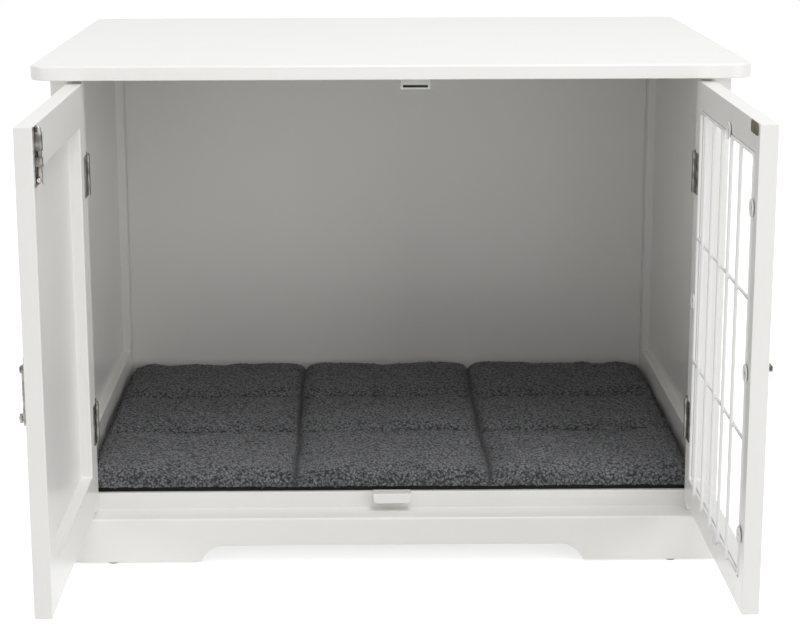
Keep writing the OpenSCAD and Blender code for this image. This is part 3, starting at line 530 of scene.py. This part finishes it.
def makePlinth():
    low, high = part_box("plinth_board")
    sweep = math.asin((low.z - arch["centreZ"]) / arch["radius"])
    right = [(high.x, high.z), (high.x, low.z)]
    for k in range(arch["steps"] + 1):
        a = sweep + (math.pi / 2 - sweep) * k / arch["steps"]
        x, z = arch["radius"] * math.cos(a), arch["radius"] * math.sin(a)
        right.append((arch["centreX"] + x, arch["centreZ"] + z))
    outline = right + [(-x, z) for x, z in reversed(right)]
    n = len(outline)
    verts = [(x, y, z) for y in (low.y, high.y) for x, z in outline]
    faces = [tuple(range(n)), tuple(range(n, 2 * n))[::-1]]
    faces += [(k, n + k, n + (k + 1) % n, (k + 1) % n) for k in range(n)]
    mesh = meshOf("plinth_board_board", verts, faces)
    thin = 0.00001

    def share(a, b):
        if abs(a.y - b.y) > thin:
            return plinthEdge["ends"] if abs(a.x) > high.x - thin else 0.0
        if a.y > low.y + thin:
            return plinthEdge["rear"]
        return plinthEdge["top"] if min(a.z, b.z) > high.z - thin else plinthEdge["foot"]

    weighEdges(mesh, share)
    mesh = rounded(mesh, plinthEdge["width"], 4, weights=True)
    newPiece("plinth_board_board", shaded(mesh), "whitePaint", "cabinet", "plinth_board")


makePlinth()
makeBoard("ledge_board", "cabinet", 0.0006)
polishNode("plinth_returns", "whitePaint", "cabinet", 0.0006)
polishNode("door_stop", "whitePaint", "cabinet", 0.0009)
polishNode("catch_housing", "catchPlastic", "cabinet", 0.0004)
polishNode("glides", "glidePlastic", "cabinet", 0.0004)
polishNode("post_leaves", "satinNickel", "cabinet")
polishNode("hinge_pins", "brightPlate", "cabinet", 0.00015)
hidden = {"rawWood": ("floor_side_battens", "floor_bearers", "corner_blocks", "top_battens", "stop_dowels"),
          "darkMagnet": ("catch_magnet",)}
for finish, names in hidden.items():
    for name in names:
        if not nodes[name].material_slots:
            nodes[name].data.materials.append(materials[finish])
        for place in nodes[name].material_slots:
            place.material = materials[finish]
print("cabinet made")

# Doors stand open, the inner face towards the cabin's middle
doorEdge = {"left": 0.0013, "right": 0.00091}
rebateGap = 0.0006


def makeDoor(side):
    names = {"high": side + "_hinge_stile", "low": side + "_free_stile", "top": side + "_top_rail",
             "bottom": side + "_bottom_rail"}
    low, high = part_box(names["high"])
    inner, outer = (high.x, low.x) if side == "left" else (low.x, high.x)
    outline, window = ringOf(names)
    loops = [(inner, *outline), (inner, *window)]
    if side == "right":
        low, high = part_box("grille")
        rebate = (low.y - rebateGap, high.y + rebateGap, low.z - rebateGap, high.z + rebateGap)
        loops = [(inner, *outline), (inner, *rebate), (high.x, *rebate), (high.x, *window)]
    makeFrame(loops + [(outer, *window), (outer, *outline)], names, side + "_door", doorEdge[side])


makeDoor("left")
makeBoard("left_panel", "left_door", 0.0002)
makeDoor("right")
metalwork = {"left_door": {"left_door_leaves": "satinNickel", "bolt_plate": "brightPlate",
                           "latch_plate": "brightPlate"},
             "right_door": {"right_door_leaves": "satinNickel", "keeper": "brightPlate",
                            "strike_plate": "bronze"},
             "bolt": {"bolt_rod": "brightPlate"}, "latch": {"latch_bar": "brightPlate"}}
for body, pieces in metalwork.items():
    for name, finish in pieces.items():
        polishNode(name, finish, body)
print("doors made")


# Geometry Nodes: trees with named inputs, run once on a base mesh and turned into a plain mesh
def newTree(name, inputs):
    tree = bpy.data.node_groups.new(name, "GeometryNodeTree")
    addSocket(tree, "Geometry", "INPUT", "Geometry")
    for label, value in inputs.items():
        addSocket(tree, label, "INPUT", "Int" if isinstance(value, int) else "Float").default_value = value
    addSocket(tree, "Material", "INPUT", "Material")
    addSocket(tree, "Geometry", "OUTPUT", "Geometry")
    return tree, tree.nodes.new("NodeGroupInput").outputs, tree.nodes.new("NodeGroupOutput").inputs


def geo(tree, kind, inputs, **settings):
    return step(tree, "GeometryNode" + kind, inputs, **settings)


def vectorOf(tree, x=0.0, y=0.0, z=0.0):
    return step(tree, "ShaderNodeCombineXYZ", {0: x, 1: y, 2: z})


def attributeOf(tree, name, kind):
    return geo(tree, "InputNamedAttribute", {"Name": name}, data_type=kind)


def moved(tree, shape, z=0.0, scale=(1, 1, 1)):
    return geo(tree, "Transform", {"Geometry": shape, "Translation": vectorOf(tree, z=z), "Scale": scale})


def joined(tree, *shapes):
    return geo(tree, "JoinGeometry", {0: list(shapes)[::-1]})


def realized(tree, shape):
    return geo(tree, "RealizeInstances", {0: shape})


def ringCurve(tree, sides, radius):
    return geo(tree, "CurvePrimitiveCircle", {"Resolution": sides, "Radius": radius})


def coneOf(tree, sides, top, bottom, depth):
    return geo(tree, "MeshCone", {"Vertices": sides, "Radius Top": top, "Radius Bottom": bottom,
                                  "Depth": depth})


def rodOf(tree, sides, radius, depth):
    return geo(tree, "MeshCylinder", {"Vertices": sides, "Radius": radius, "Depth": depth})


# Stands the shape on every base point, its Z along the point's aim, and ends the tree
def endOnPoints(tree, points, shape, put, out):
    aim = attributeOf(tree, "aim", "FLOAT_VECTOR")
    aim = step(tree, "FunctionNodeAlignRotationToVector", {"Vector": aim}, axis="Z")
    spin = attributeOf(tree, "turn", "FLOAT")
    spin = step(tree, "FunctionNodeAxisAngleToRotation", {"Axis": (0, 0, 1), "Angle": spin})
    turn = step(tree, "FunctionNodeRotateRotation", {0: aim, 1: spin}, rotation_space="LOCAL")
    many = geo(tree, "InstanceOnPoints", {"Points": points, "Instance": shape, "Rotation": turn})
    endTree(tree, many, put, out)


def endTree(tree, shape, put, out):
    dressed = geo(tree, "SetMaterial", {"Geometry": realized(tree, shape), "Material": put["Material"]})
    tree.links.new(dressed, out["Geometry"])


def grown(name, tree, base, values, finish):
    obj = placed(name, base)
    modifier = obj.modifiers.new("nodes", "NODES")
    modifier.node_group = tree
    values = {**values, "Material": materials[finish]}
    for item in tree.interface.items_tree:
        if item.in_out == "INPUT" and item.name in values:
            modifier[item.identifier] = values[item.name]
    return baked(obj, name)


# Base points of (place, aim, turn)
def pointMesh(name, points):
    mesh = bpy.data.meshes.new(name)
    places, aims, turns = zip(*points)
    mesh.from_pydata([tuple(p) for p in places], [], [])
    mesh.attributes.new("aim", "FLOAT_VECTOR", "POINT").data.foreach_set("vector", np.ravel(aims))
    mesh.attributes.new("turn", "FLOAT", "POINT").data.foreach_set("value", turns)
    return mesh


# The separate solids of a CAD node, as arrays of points
def solidsOf(node):
    mesh = nodes[node].data.copy()
    tidyMesh(mesh)
    seen, found = set(), []
    with edited(mesh) as build:
        build.verts.ensure_lookup_table()
        for vert in build.verts:
            if vert.index in seen:
                continue
            seen.add(vert.index)
            stack, part = [vert], []
            while stack:
                v = stack.pop()
                part.append(tuple(v.co))
                for edge in v.link_edges:
                    w = edge.other_vert(v)
                    if w.index not in seen:
                        seen.add(w.index)
                        stack.append(w)
            found.append(np.array(part))
    return found


# Where a node's screws are: middle of the head, the way it faces and the screw's length
def screwPlaces(node, pick):
    places, nearEnd = [], 0.0002
    for part in solidsOf(node):
        low, high = part.min(0), part.max(0)
        axis = int(np.argmax(high - low))
        across = np.arange(3) != axis
        middle, length = (low + high) / 2, float(high[axis] - low[axis])
        ends = []
        for end in (low[axis], high[axis]):
            rim = part[np.abs(part[:, axis] - end) < nearEnd]
            ends.append((np.linalg.norm((rim - middle)[:, across], axis=1).max(), end))
        end = max(ends)[1]
        aim = np.zeros(3)
        aim[axis] = 1.0 if end == high[axis] else -1.0
        spot = middle.copy()
        spot[axis] = end
        places.append((spot, aim, pick.uniform(0, math.pi)))
    return places, length


screw = {"Head radius": 0.0031, "Shank radius": 0.0015, "Length": 0.014, "Slot width": 0.0008,
         "Slot depth": 0.0011, "Dome": 0.0004, "Head sides": 28, "Shank sides": 14, "Dome rings": 8}


# Countersunk screw with a cross recess and a slightly domed head
def buildScrewTree():
    tree, put, out = newTree("crossScrews", screw)
    head, shank, sides, narrow = put["Head radius"], put["Shank radius"], put["Head sides"], put["Slot width"]
    taper = sums(tree, "SUBTRACT", head, shank)
    cone = moved(tree, coneOf(tree, sides, head, shank, taper), z=times(tree, taper, -1.0))
    ball = geo(tree, "MeshUVSphere", {"Segments": sides, "Rings": put["Dome rings"],
                                      "Radius": times(tree, head, 0.985)})
    flat = sums(tree, "DIVIDE", put["Dome"], head)
    ball = moved(tree, ball, scale=vectorOf(tree, 1.0, 1.0, flat))
    rod = rodOf(tree, put["Shank sides"], shank, put["Length"])
    rod = moved(tree, rod, z=times(tree, put["Length"], -0.5))
    solid = geo(tree, "MeshBoolean", {"Mesh 2": [cone, ball, rod]}, operation="UNION", solver="EXACT")
    wide, tall = times(tree, head, 1.15), times(tree, put["Slot depth"], 2.0)
    plans = ((wide, narrow), (narrow, wide))
    bars = [geo(tree, "MeshCube", {"Size": vectorOf(tree, x, y, tall)}) for x, y in plans]
    cut = geo(tree, "MeshBoolean", {"Mesh 1": solid, "Mesh 2": bars}, operation="DIFFERENCE", solver="EXACT")
    endOnPoints(tree, put["Geometry"], cut, put, out)
    return tree


screwTree = buildScrewTree()
pick = random.Random(7)
screwSets = (("post_leaf_screws", "cabinet", "brightPlate"), ("batten_screws", "cabinet", "satinNickel"),
             ("back_screws", "cabinet", "satinNickel"), ("catch_screws", "cabinet", "satinNickel"),
             ("left_door_screws", "left_door", "brightPlate"),
             ("right_door_screws", "right_door", "brightPlate"),
             ("clip_screws", "right_door", "satinNickel"))
for node, body, finish in screwSets:
    places, length = screwPlaces(node, pick)
    mesh = grown(node + "_cross", screwTree, pointMesh(node + "_points", places), {"Length": length}, finish)
    tidyMesh(mesh, slivers=True)
    newPiece(node + "_cross", shaded(mesh, 30), finish, body, node)
print("screws made")

wireRadius = 0.00225
grilleLow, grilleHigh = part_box("grille")
span = grilleHigh - grilleLow - Vector((2 * wireRadius,) * 3)
grille = {"Width": span.y, "Height": span.z, "Layer step": span.x, "Wire radius": wireRadius,
          "Bend radius": 0.008, "Columns": 7, "Rows": 4, "Weld radius": 0.0019}


# Welded grille in its own plane: a bent outline, level wires in line with it and uprights laid over them
def buildGrilleTree():
    tree, put, out = newTree("weldedGrille", grille)
    wire, w, h, columns, rows = (put[k] for k in ("Wire radius", "Width", "Height", "Columns", "Rows"))
    ring = ringCurve(tree, 16, wire)
    bend = geo(tree, "CurvePrimitiveQuadrilateral", {"Width": w, "Height": h})
    bend = geo(tree, "FilletCurve", {"Curve": bend, "Radius": put["Bend radius"], "Count": 8}, mode="POLY")
    made = [geo(tree, "CurveToMesh", {"Curve": bend, "Profile Curve": ring})]
    stepX = sums(tree, "DIVIDE", w, sums(tree, "SUBTRACT", columns, 1.0))
    stepY = sums(tree, "DIVIDE", h, sums(tree, "SUBTRACT", rows, 1.0))
    halfW, halfH, lowW, lowH = (times(tree, a, b) for a, b in ((w, 0.5), (h, 0.5), (w, -0.5), (h, -0.5)))

    def lineUp(count, x, y, dx, dy):
        return geo(tree, "MeshLine", {"Count": count, "Start Location": vectorOf(tree, x, y),
                                      "Offset": vectorOf(tree, dx, dy)})

    def straight(x0, y0, x1, y1):
        ends = {"Start": vectorOf(tree, x0, y0), "End": vectorOf(tree, x1, y1)}
        return geo(tree, "CurvePrimitiveLine", ends)

    columnPoints = lineUp(sums(tree, "SUBTRACT", columns, 2.0), plus(tree, lowW, stepX), 0.0, stepX, 0.0)
    rowPoints = lineUp(sums(tree, "SUBTRACT", rows, 2.0), 0.0, plus(tree, lowH, stepY), 0.0, stepY)
    reach = plus(tree, halfH, wire)
    tall = straight(0.0, times(tree, reach, -1.0), 0.0, reach)
    wide = straight(lowW, 0.0, halfW, 0.0)
    for points, line, z in ((columnPoints, tall, put["Layer step"]), (rowPoints, wide, 0.0)):
        lines = realized(tree, geo(tree, "InstanceOnPoints", {"Points": points, "Instance": line}))
        wires = geo(tree, "CurveToMesh", {"Curve": lines, "Profile Curve": ring, "Fill Caps": True})
        made.append(moved(tree, wires, z=z))
    allRows = lineUp(rows, 0.0, lowH, 0.0, stepY)
    welds = realized(tree, geo(tree, "InstanceOnPoints", {"Points": allRows, "Instance": columnPoints}))
    bead = geo(tree, "MeshIcoSphere", {"Radius": put["Weld radius"], "Subdivisions": 2})
    bead = moved(tree, bead, scale=(1.3, 1.3, 0.75))
    beads = geo(tree, "InstanceOnPoints", {"Points": welds, "Instance": bead})
    made.append(moved(tree, beads, z=times(tree, put["Layer step"], 0.5)))
    endTree(tree, joined(tree, *made), put, out)
    return tree


mesh = pointMesh("grilleBase", [((0, 0, 0), (0, 0, 1), 0.0)])
mesh = grown("grille_wires", buildGrilleTree(), mesh, grille, "wirePaint")
middle = (grilleLow + grilleHigh) / 2
mesh.transform(Matrix(((0, 0, -1, grilleHigh.x - wireRadius), (-1, 0, 0, middle.y), (0, 1, 0, middle.z),
                       (0, 0, 0, 1))))
newPiece("grille_wires", shaded(mesh, 50), "wirePaint", "right_door", "grille")

clip = {"Radius": 0.011, "Rim": 0.0009, "Disc": 0.0007, "Foot radius": 0.003, "Foot": 0.0021, "Lift": 0.0015,
        "Seat": 0.0003, "Rim sides": 40, "Foot sides": 28}


# Round clips: a dished disc with a rolled rim on a short foot
def buildClipTree():
    tree, put, out = newTree("wireClips", clip)
    lift, foot, footRadius, sides = put["Lift"], put["Foot"], put["Foot radius"], put["Foot sides"]
    core = sums(tree, "SUBTRACT", put["Radius"], put["Rim"])
    ring, roll = ringCurve(tree, put["Rim sides"], core), ringCurve(tree, 10, put["Rim"])
    rim = geo(tree, "CurveToMesh", {"Curve": ring, "Profile Curve": roll})
    rim = moved(tree, rim, z=plus(tree, lift, put["Rim"]))
    disc = coneOf(tree, put["Rim sides"], core, times(tree, core, 0.93), put["Disc"])
    disc = moved(tree, disc, z=lift)
    seat = moved(tree, coneOf(tree, sides, footRadius, times(tree, footRadius, 1.5), put["Seat"]), z=foot)
    stem = moved(tree, rodOf(tree, sides, footRadius, foot), z=times(tree, foot, 0.5))
    endOnPoints(tree, put["Geometry"], joined(tree, rim, disc, seat, stem), put, out)
    return tree


places, innerFace = [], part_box("right_hinge_stile")[0].x
for part in solidsOf("grille_clips"):
    middle = (part.min(0) + part.max(0)) / 2
    places.append(((innerFace, middle[1], middle[2]), (-1.0, 0.0, 0.0), 0.0))
mesh = grown("grille_clips_dished", buildClipTree(), pointMesh("clipPoints", places), clip, "wirePaint")
newPiece("grille_clips_dished", shaded(mesh, 40), "wirePaint", "right_door", "grille_clips")
print("grille made")

mat = {"halfWidth": 0.438, "front": -0.107, "rear": 0.485, "foot": 0.0957, "seamZ": 0.1118, "rimZ": 0.1165,
       "crownZ": 0.1188, "dome": 0.0016, "seamsX": (-0.14, 0.14), "seamsY": (0.101, 0.286), "widest": 0.4405,
       "frontCorner": 0.013, "rearCorner": 0.035, "inset": 0.007, "cell": 0.0049, "slope": 0.008,
       "wander": 0.0018, "heldBand": 0.004}


# Distance to the nearest sewn seam, the seams wandering a little as sewn ones do
def seamDistance(x, y):
    w = mat["wander"]
    best = np.full(x.shape, 9.0)
    for k, seam in enumerate(mat["seamsX"]):
        wave = w * np.sin(9.1 * y + 1.7 + k) + 0.5 * w * np.sin(31.0 * y + 2.1 * k)
        best = np.minimum(best, np.abs(x - seam - wave))
    for k, seam in enumerate(mat["seamsY"]):
        wave = w * np.sin(7.3 * x + 0.4 + 2 * k) + 0.5 * w * np.sin(27.0 * x + 1.3 * k)
        best = np.minimum(best, np.abs(y - seam - wave))
    return best


def panelLine(stops):
    line = []
    for a, b in zip(stops, stops[1:]):
        n = round((b - a) / mat["cell"])
        line += [a + (b - a) * i / n for i in range(n)]
    return np.array(line + [stops[-1]])


# Bends the corner squares of the grid into quarter rounds
def roundCorners(x, y, inset):
    x, y = x.copy(), y.copy()
    hx = mat["halfWidth"] - inset
    for cy, radius in ((-1, mat["frontCorner"] - inset), (1, mat["rearCorner"] - inset)):
        edge = (mat["front"] + inset) if cy < 0 else (mat["rear"] - inset)
        u = (np.abs(x) - (hx - radius)) / radius
        v = (cy * (y - edge) + radius) / radius
        inside = (u > 0) & (v > 0)
        u, v = np.clip(u, 0, 1), np.clip(v, 0, 1)
        x = np.where(inside, np.sign(x) * (hx - radius + radius * u * np.sqrt(1 - v * v / 2)), x)
        y = np.where(inside, edge - cy * radius + cy * radius * v * np.sqrt(1 - u * u / 2), y)
    return x, y


# Cushion as sewn: a grid over the top and a rolled rim, open below
def cushionMesh():
    e, rimReach, domeReach, rimAngles = mat["inset"], 0.012, 0.05, (62, 36, 10, -16, -42, -66)
    gx = panelLine((-mat["halfWidth"] + e, *mat["seamsX"], mat["halfWidth"] - e))
    gy = panelLine((mat["front"] + e, *mat["seamsY"], mat["rear"] - e))
    x, y = (a.ravel() for a in np.meshgrid(gx, gy, indexing="ij"))
    nx, ny = len(gx), len(gy)
    border = np.minimum.reduce([x - gx[0], gx[-1] - x, y - gy[0], gy[-1] - y])
    d = seamDistance(x, y)
    puff = (1 - np.exp(-d / mat["slope"])) * (mat["crownZ"] - mat["seamZ"])
    drop = (mat["crownZ"] - mat["rimZ"]) * np.exp(-(border / rimReach) ** 1.2)
    dome = mat["dome"] * (1 - np.exp(-(np.minimum(d, border) / domeReach) ** 2))
    z = mat["seamZ"] + puff - drop + dome
    wave = mat["wander"] * 0.5 * np.minimum(1, border / 0.03)
    x2, y2 = roundCorners(x, y, e)
    x2, y2 = x2 + wave * np.sin(23 * y + 2), y2 + wave * np.sin(19 * x + 1)
    verts = np.stack([x2, y2, z], 1).tolist()
    faces = [(i * ny + j, (i + 1) * ny + j, (i + 1) * ny + j + 1, i * ny + j + 1)
             for i in range(nx - 1) for j in range(ny - 1)]
    loop = [i * ny for i in range(nx)] + [(nx - 1) * ny + j for j in range(1, ny)]
    loop += [i * ny + ny - 1 for i in range(nx - 2, -1, -1)] + [j for j in range(ny - 2, 0, -1)]
    ring = np.array(verts)[loop]
    flow = np.roll(ring, -1, 0) - np.roll(ring, 1, 0)
    out = np.stack([flow[:, 1], -flow[:, 0]], 1)
    out /= np.linalg.norm(out, axis=1)[:, None]
    middle, half, last, n = (ring[:, 2] + mat["foot"]) / 2, (ring[:, 2] - mat["foot"]) / 2, loop, len(loop)
    for angle in rimAngles:
        away, rise = math.cos(math.radians(angle)), math.sin(math.radians(angle))
        here = list(range(len(verts), len(verts) + n))
        verts += np.column_stack([ring[:, :2] + out * e * away, middle + half * rise]).tolist()
        faces += [(last[k], here[k], here[(k + 1) % n], last[(k + 1) % n]) for k in range(n)]
        last = here
    return meshOf("quilted_mat_pile", verts, faces)


def pointsOf(mesh):
    flat = np.empty(len(mesh.vertices) * 3)
    mesh.vertices.foreach_get("co", flat)
    return flat.reshape(-1, 3)


filling = {"quality": 6, "mass": 0.3, "tension": 12.0, "shear": 5.0, "bending": 0.4, "pressure": 4.0,
           "swell": -0.03, "frames": 20, "cap": 0.006, "seamShare": 0.55, "footShare": 0.15}


# Fills the cushion: air pressure on cloth that is held at the seams and at its foot
def inflate(mesh):
    start, cap = pointsOf(mesh), filling["cap"]
    foot = start[:, 2] < mat["foot"] + mat["heldBand"]
    held = foot | (seamDistance(start[:, 0], start[:, 1]) < mat["cell"] * filling["seamShare"])
    obj = placed("cushionCloth", mesh)
    group = obj.vertex_groups.new(name="held")
    group.add([int(i) for i in np.flatnonzero(held)], 1.0, "REPLACE")
    cloth = obj.modifiers.new("cloth", "CLOTH")
    facts = cloth.settings
    facts.quality, facts.mass, facts.time_scale = filling["quality"], filling["mass"], 1.0
    facts.tension_stiffness = facts.compression_stiffness = filling["tension"]
    facts.shear_stiffness, facts.bending_stiffness = filling["shear"], filling["bending"]
    facts.use_pressure, facts.uniform_pressure_force = True, filling["pressure"]
    facts.shrink_min = filling["swell"]
    facts.vertex_group_mass = "held"
    facts.effector_weights.gravity = 0.0
    cloth.collision_settings.use_collision = False
    cloth.point_cache.frame_start, cloth.point_cache.frame_end = 1, filling["frames"]
    scene.frame_start, scene.frame_end = 1, filling["frames"]
    for frameNumber in range(1, filling["frames"] + 1):
        scene.frame_set(frameNumber)
    made = baked(obj, mesh.name)
    scene.frame_set(1)
    way = pointsOf(made) - start
    far = np.linalg.norm(way, axis=1)[:, None] + 1e-9
    way *= cap * np.tanh(far / cap) / far
    way[foot] *= filling["footShare"]
    made.vertices.foreach_set("co", (start + way).ravel())
    made.update()
    print("cushion filled: moved up to %.1f mm" % (1000 * np.linalg.norm(way, axis=1).max()))
    return made


nap = {"clump": 0.0062, "height": 0.0014, "slump": 0.0012, "seamPress": 0.0042, "seamReach": 0.0036,
       "seamShadeReach": 0.0032, "freeReach": 0.005, "seed": 11}


# Presses the seams in again and raises the clumps of pile, and stores a seam mask for painted shade along the
# seams; without a seed the noise depends on the clock
def raisePile(mesh):
    noise.seed_set(nap["seed"])
    points = pointsOf(mesh)
    normals = np.empty(len(points) * 3)
    mesh.vertex_normals.foreach_get("vector", normals)
    normals = normals.reshape(-1, 3)
    d = seamDistance(points[:, 0], points[:, 1])
    free = 1 - np.exp(-(d / nap["freeReach"]) ** 2)
    upward = np.clip(normals[:, 2], 0, 1)
    above = np.clip((points[:, 2] - mat["foot"]) / mat["heldBand"], 0, 1)
    size = 1 / nap["clump"]
    lump, soft = np.empty(len(points)), np.empty(len(points))
    for i, p in enumerate(points):
        v = Vector(p) * size
        near = noise.voronoi(v + noise.noise_vector(v * 0.6) * 0.5)[0]
        lump[i] = 0.55 - near[0]
        soft[i] = noise.noise(Vector(p) * 16) + 0.5 * noise.noise(Vector(p) * 41)
    push = nap["height"] * (lump * 1.6 + 0.25 * soft) * (0.35 + 0.65 * free) * above
    points += normals * push[:, None]
    points[:, 2] -= nap["seamPress"] * np.exp(-(d / nap["seamReach"]) ** 2) * upward
    points[:, 2] += nap["slump"] * soft * free * upward
    points[:, 2] = np.maximum(points[:, 2], mat["foot"])
    points[:, 0] = np.clip(points[:, 0], -mat["widest"], mat["widest"])
    mesh.vertices.foreach_set("co", points.ravel())
    # Painted shade along the seams: this mask darkens the pile's colour near them
    seamShade = np.exp(-(d / nap["seamShadeReach"]) ** 2)
    mesh.attributes.new("seam", "FLOAT", "POINT").data.foreach_set("value", seamShade)
    mesh.update()
    return mesh


curls = {"Density": 30000.0, "Coil radius": 0.0019, "Coil height": 0.0016, "Turns": 1.4,
         "Yarn radius": 0.0005, "Shrink": 0.6, "Seed": 5}
lean = 0.7


# Loose curls on the rim of the pile: short coils of yarn, standing on the cloth at random turns
def buildCurlTree():
    tree, put, out = newTree("pileCurls", curls)
    seed, radius = put["Seed"], put["Coil radius"]
    spread = {"Mesh": put["Geometry"], "Density": put["Density"], "Seed": seed}
    spread = nodeOf(tree, "GeometryNodeDistributePointsOnFaces", spread).outputs
    coil = geo(tree, "CurveSpiral", {"Resolution": 6, "Rotations": put["Turns"], "Start Radius": radius,
                                     "End Radius": times(tree, radius, 0.35), "Height": put["Coil height"]})
    yarn = ringCurve(tree, 4, put["Yarn radius"])
    curl = geo(tree, "CurveToMesh", {"Curve": coil, "Profile Curve": yarn, "Fill Caps": True})
    spin = {"Min": (-lean, -lean, 0.0), "Max": (lean, lean, 6.28), "Seed": seed}
    spin = step(tree, "FunctionNodeRandomValue", spin, data_type="FLOAT_VECTOR")
    turn = {0: spread["Rotation"], 1: spin}
    turn = step(tree, "FunctionNodeRotateRotation", turn, rotation_space="LOCAL")
    size = nodeOf(tree, "FunctionNodeRandomValue", {2: put["Shrink"], "Seed": seed}).outputs[1]
    many = geo(tree, "InstanceOnPoints", {"Points": spread["Points"], "Instance": curl, "Rotation": turn,
                                          "Scale": size})
    endTree(tree, many, put, out)
    return tree


# Adds the curls to a closed pile, on the front and side rims alone
def addCurls(mesh):
    rim = mesh.copy()
    with edited(rim) as build:
        gone = []
        for face in build.faces:
            c = face.calc_center_median()
            onRim = c.y < mat["front"] + 0.010 or abs(c.x) > mat["halfWidth"] - 0.009
            if not onRim or c.z < mat["foot"] + 0.001 or len(face.verts) > 8 or face.normal.z < -0.6:
                gone.append(face)
        bmesh.ops.delete(build, geom=gone, context="FACES")
    yarn = grown("curlsOnRim", buildCurlTree(), rim, curls, "curlyPile")
    whole = bpy.data.meshes.new("quilted_mat_pile")
    with edited(whole) as build:
        build.from_mesh(mesh)
        build.from_mesh(yarn)
    print("curls:", len(yarn.polygons), "faces, pile in all:", len(whole.polygons))
    return whole


def makeMat():
    mesh = cushionMesh()
    mesh = inflate(mesh)
    mesh = raisePile(applied(mesh, "SUBSURF", levels=1, render_levels=1))
    with edited(mesh) as build:
        fillHoles(build)
    mesh = addCurls(mesh)
    mesh.shade_smooth()
    pile = newPiece("quilted_mat_pile", mesh, "curlyPile", "mat", "quilted_mat")


baseCloth = {"low": (-0.4372, -0.1045, 0.0923), "high": (0.4372, 0.4842, 0.0993), "front": 0.012,
             "rear": 0.035, "under": 0.0022, "over": 0.0012}
makeMat()
mesh = shaded(plumpBoard("mat_base_cloth", **baseCloth))
under = newPiece("mat_base_cloth", mesh, "blackCloth", "mat", "mat_base")
print("mat made")

studio = {"sky": 0.50, "floorColour": 0.82, "floorGlow": 0.72, "floorReach": 9.0}
lamps = {"key": {"place": (0.6, -1.25, 3.6), "aim": (0.0, 0.0, 0.35), "size": 2.0, "power": 53.0},
         "fill": {"place": (3.2, -3.3, 1.3), "aim": (-0.3, 0.1, 0.4), "size": 1.8, "power": 40.0},
         "side": {"place": (-3.6, -2.2, 1.6), "aim": (0.4, -0.4, 0.4), "size": 1.2, "power": 22.0}}
white = (1.0, 1.0, 1.0, 1.0)


def seenDirectly(tree):
    rays = tree.nodes.new("ShaderNodeLightPath").outputs
    seen = sums(tree, "MAXIMUM", rays["Is Camera Ray"], rays["Is Glossy Ray"])
    return sums(tree, "MAXIMUM", seen, rays["Is Transmission Ray"])


def addWorld():
    world = bpy.data.worlds.new("studio")
    scene.world = world
    world.use_nodes = True
    tree = world.node_tree
    sky, plain = tree.nodes["Background"], tree.nodes.new("ShaderNodeBackground")
    for node, strength in ((sky, studio["sky"]), (plain, 1.0)):
        node.inputs["Color"].default_value, node.inputs["Strength"].default_value = white, strength
    mix = tree.nodes.new("ShaderNodeMixShader")
    join(tree, (seenDirectly(tree), mix.inputs[0]), (sky.outputs[0], mix.inputs[1]),
         (plain.outputs[0], mix.inputs[2]), (mix.outputs[0], tree.nodes["World Output"].inputs["Surface"]))


def addFloor():
    ground = bpy.data.materials.new("floor")
    ground.use_nodes = True
    tree = ground.node_tree
    tree.nodes.remove(tree.nodes["Principled BSDF"])
    matt, glow = tree.nodes.new("ShaderNodeBsdfDiffuse"), tree.nodes.new("ShaderNodeEmission")
    matt.inputs["Color"].default_value = (studio["floorColour"],) * 3 + (1.0,)
    both = tree.nodes.new("ShaderNodeAddShader")
    join(tree, (times(tree, seenDirectly(tree), studio["floorGlow"]), glow.inputs["Strength"]),
         (matt.outputs[0], both.inputs[0]), (glow.outputs[0], both.inputs[1]),
         (both.outputs[0], tree.nodes["Material Output"].inputs["Surface"]))
    r = studio["floorReach"]
    plane = placed("floor", meshOf("floor", [(-r, -r, 0), (r, -r, 0), (r, r, 0), (-r, r, 0)], [(0, 1, 2, 3)]))
    plane.data.materials.append(ground)


def addLamp(name, place, aim, size, power):
    lamp = bpy.data.lights.new(name, "AREA")
    lamp.shape, lamp.size, lamp.energy = "SQUARE", size, power
    light = placed(name, lamp)
    light.location = place
    light.rotation_euler = (Vector(aim) - light.location).to_track_quat("-Z", "Y").to_euler()


addWorld()
addFloor()
for name, facts in lamps.items():
    addLamp(name, **facts)
print("studio made")
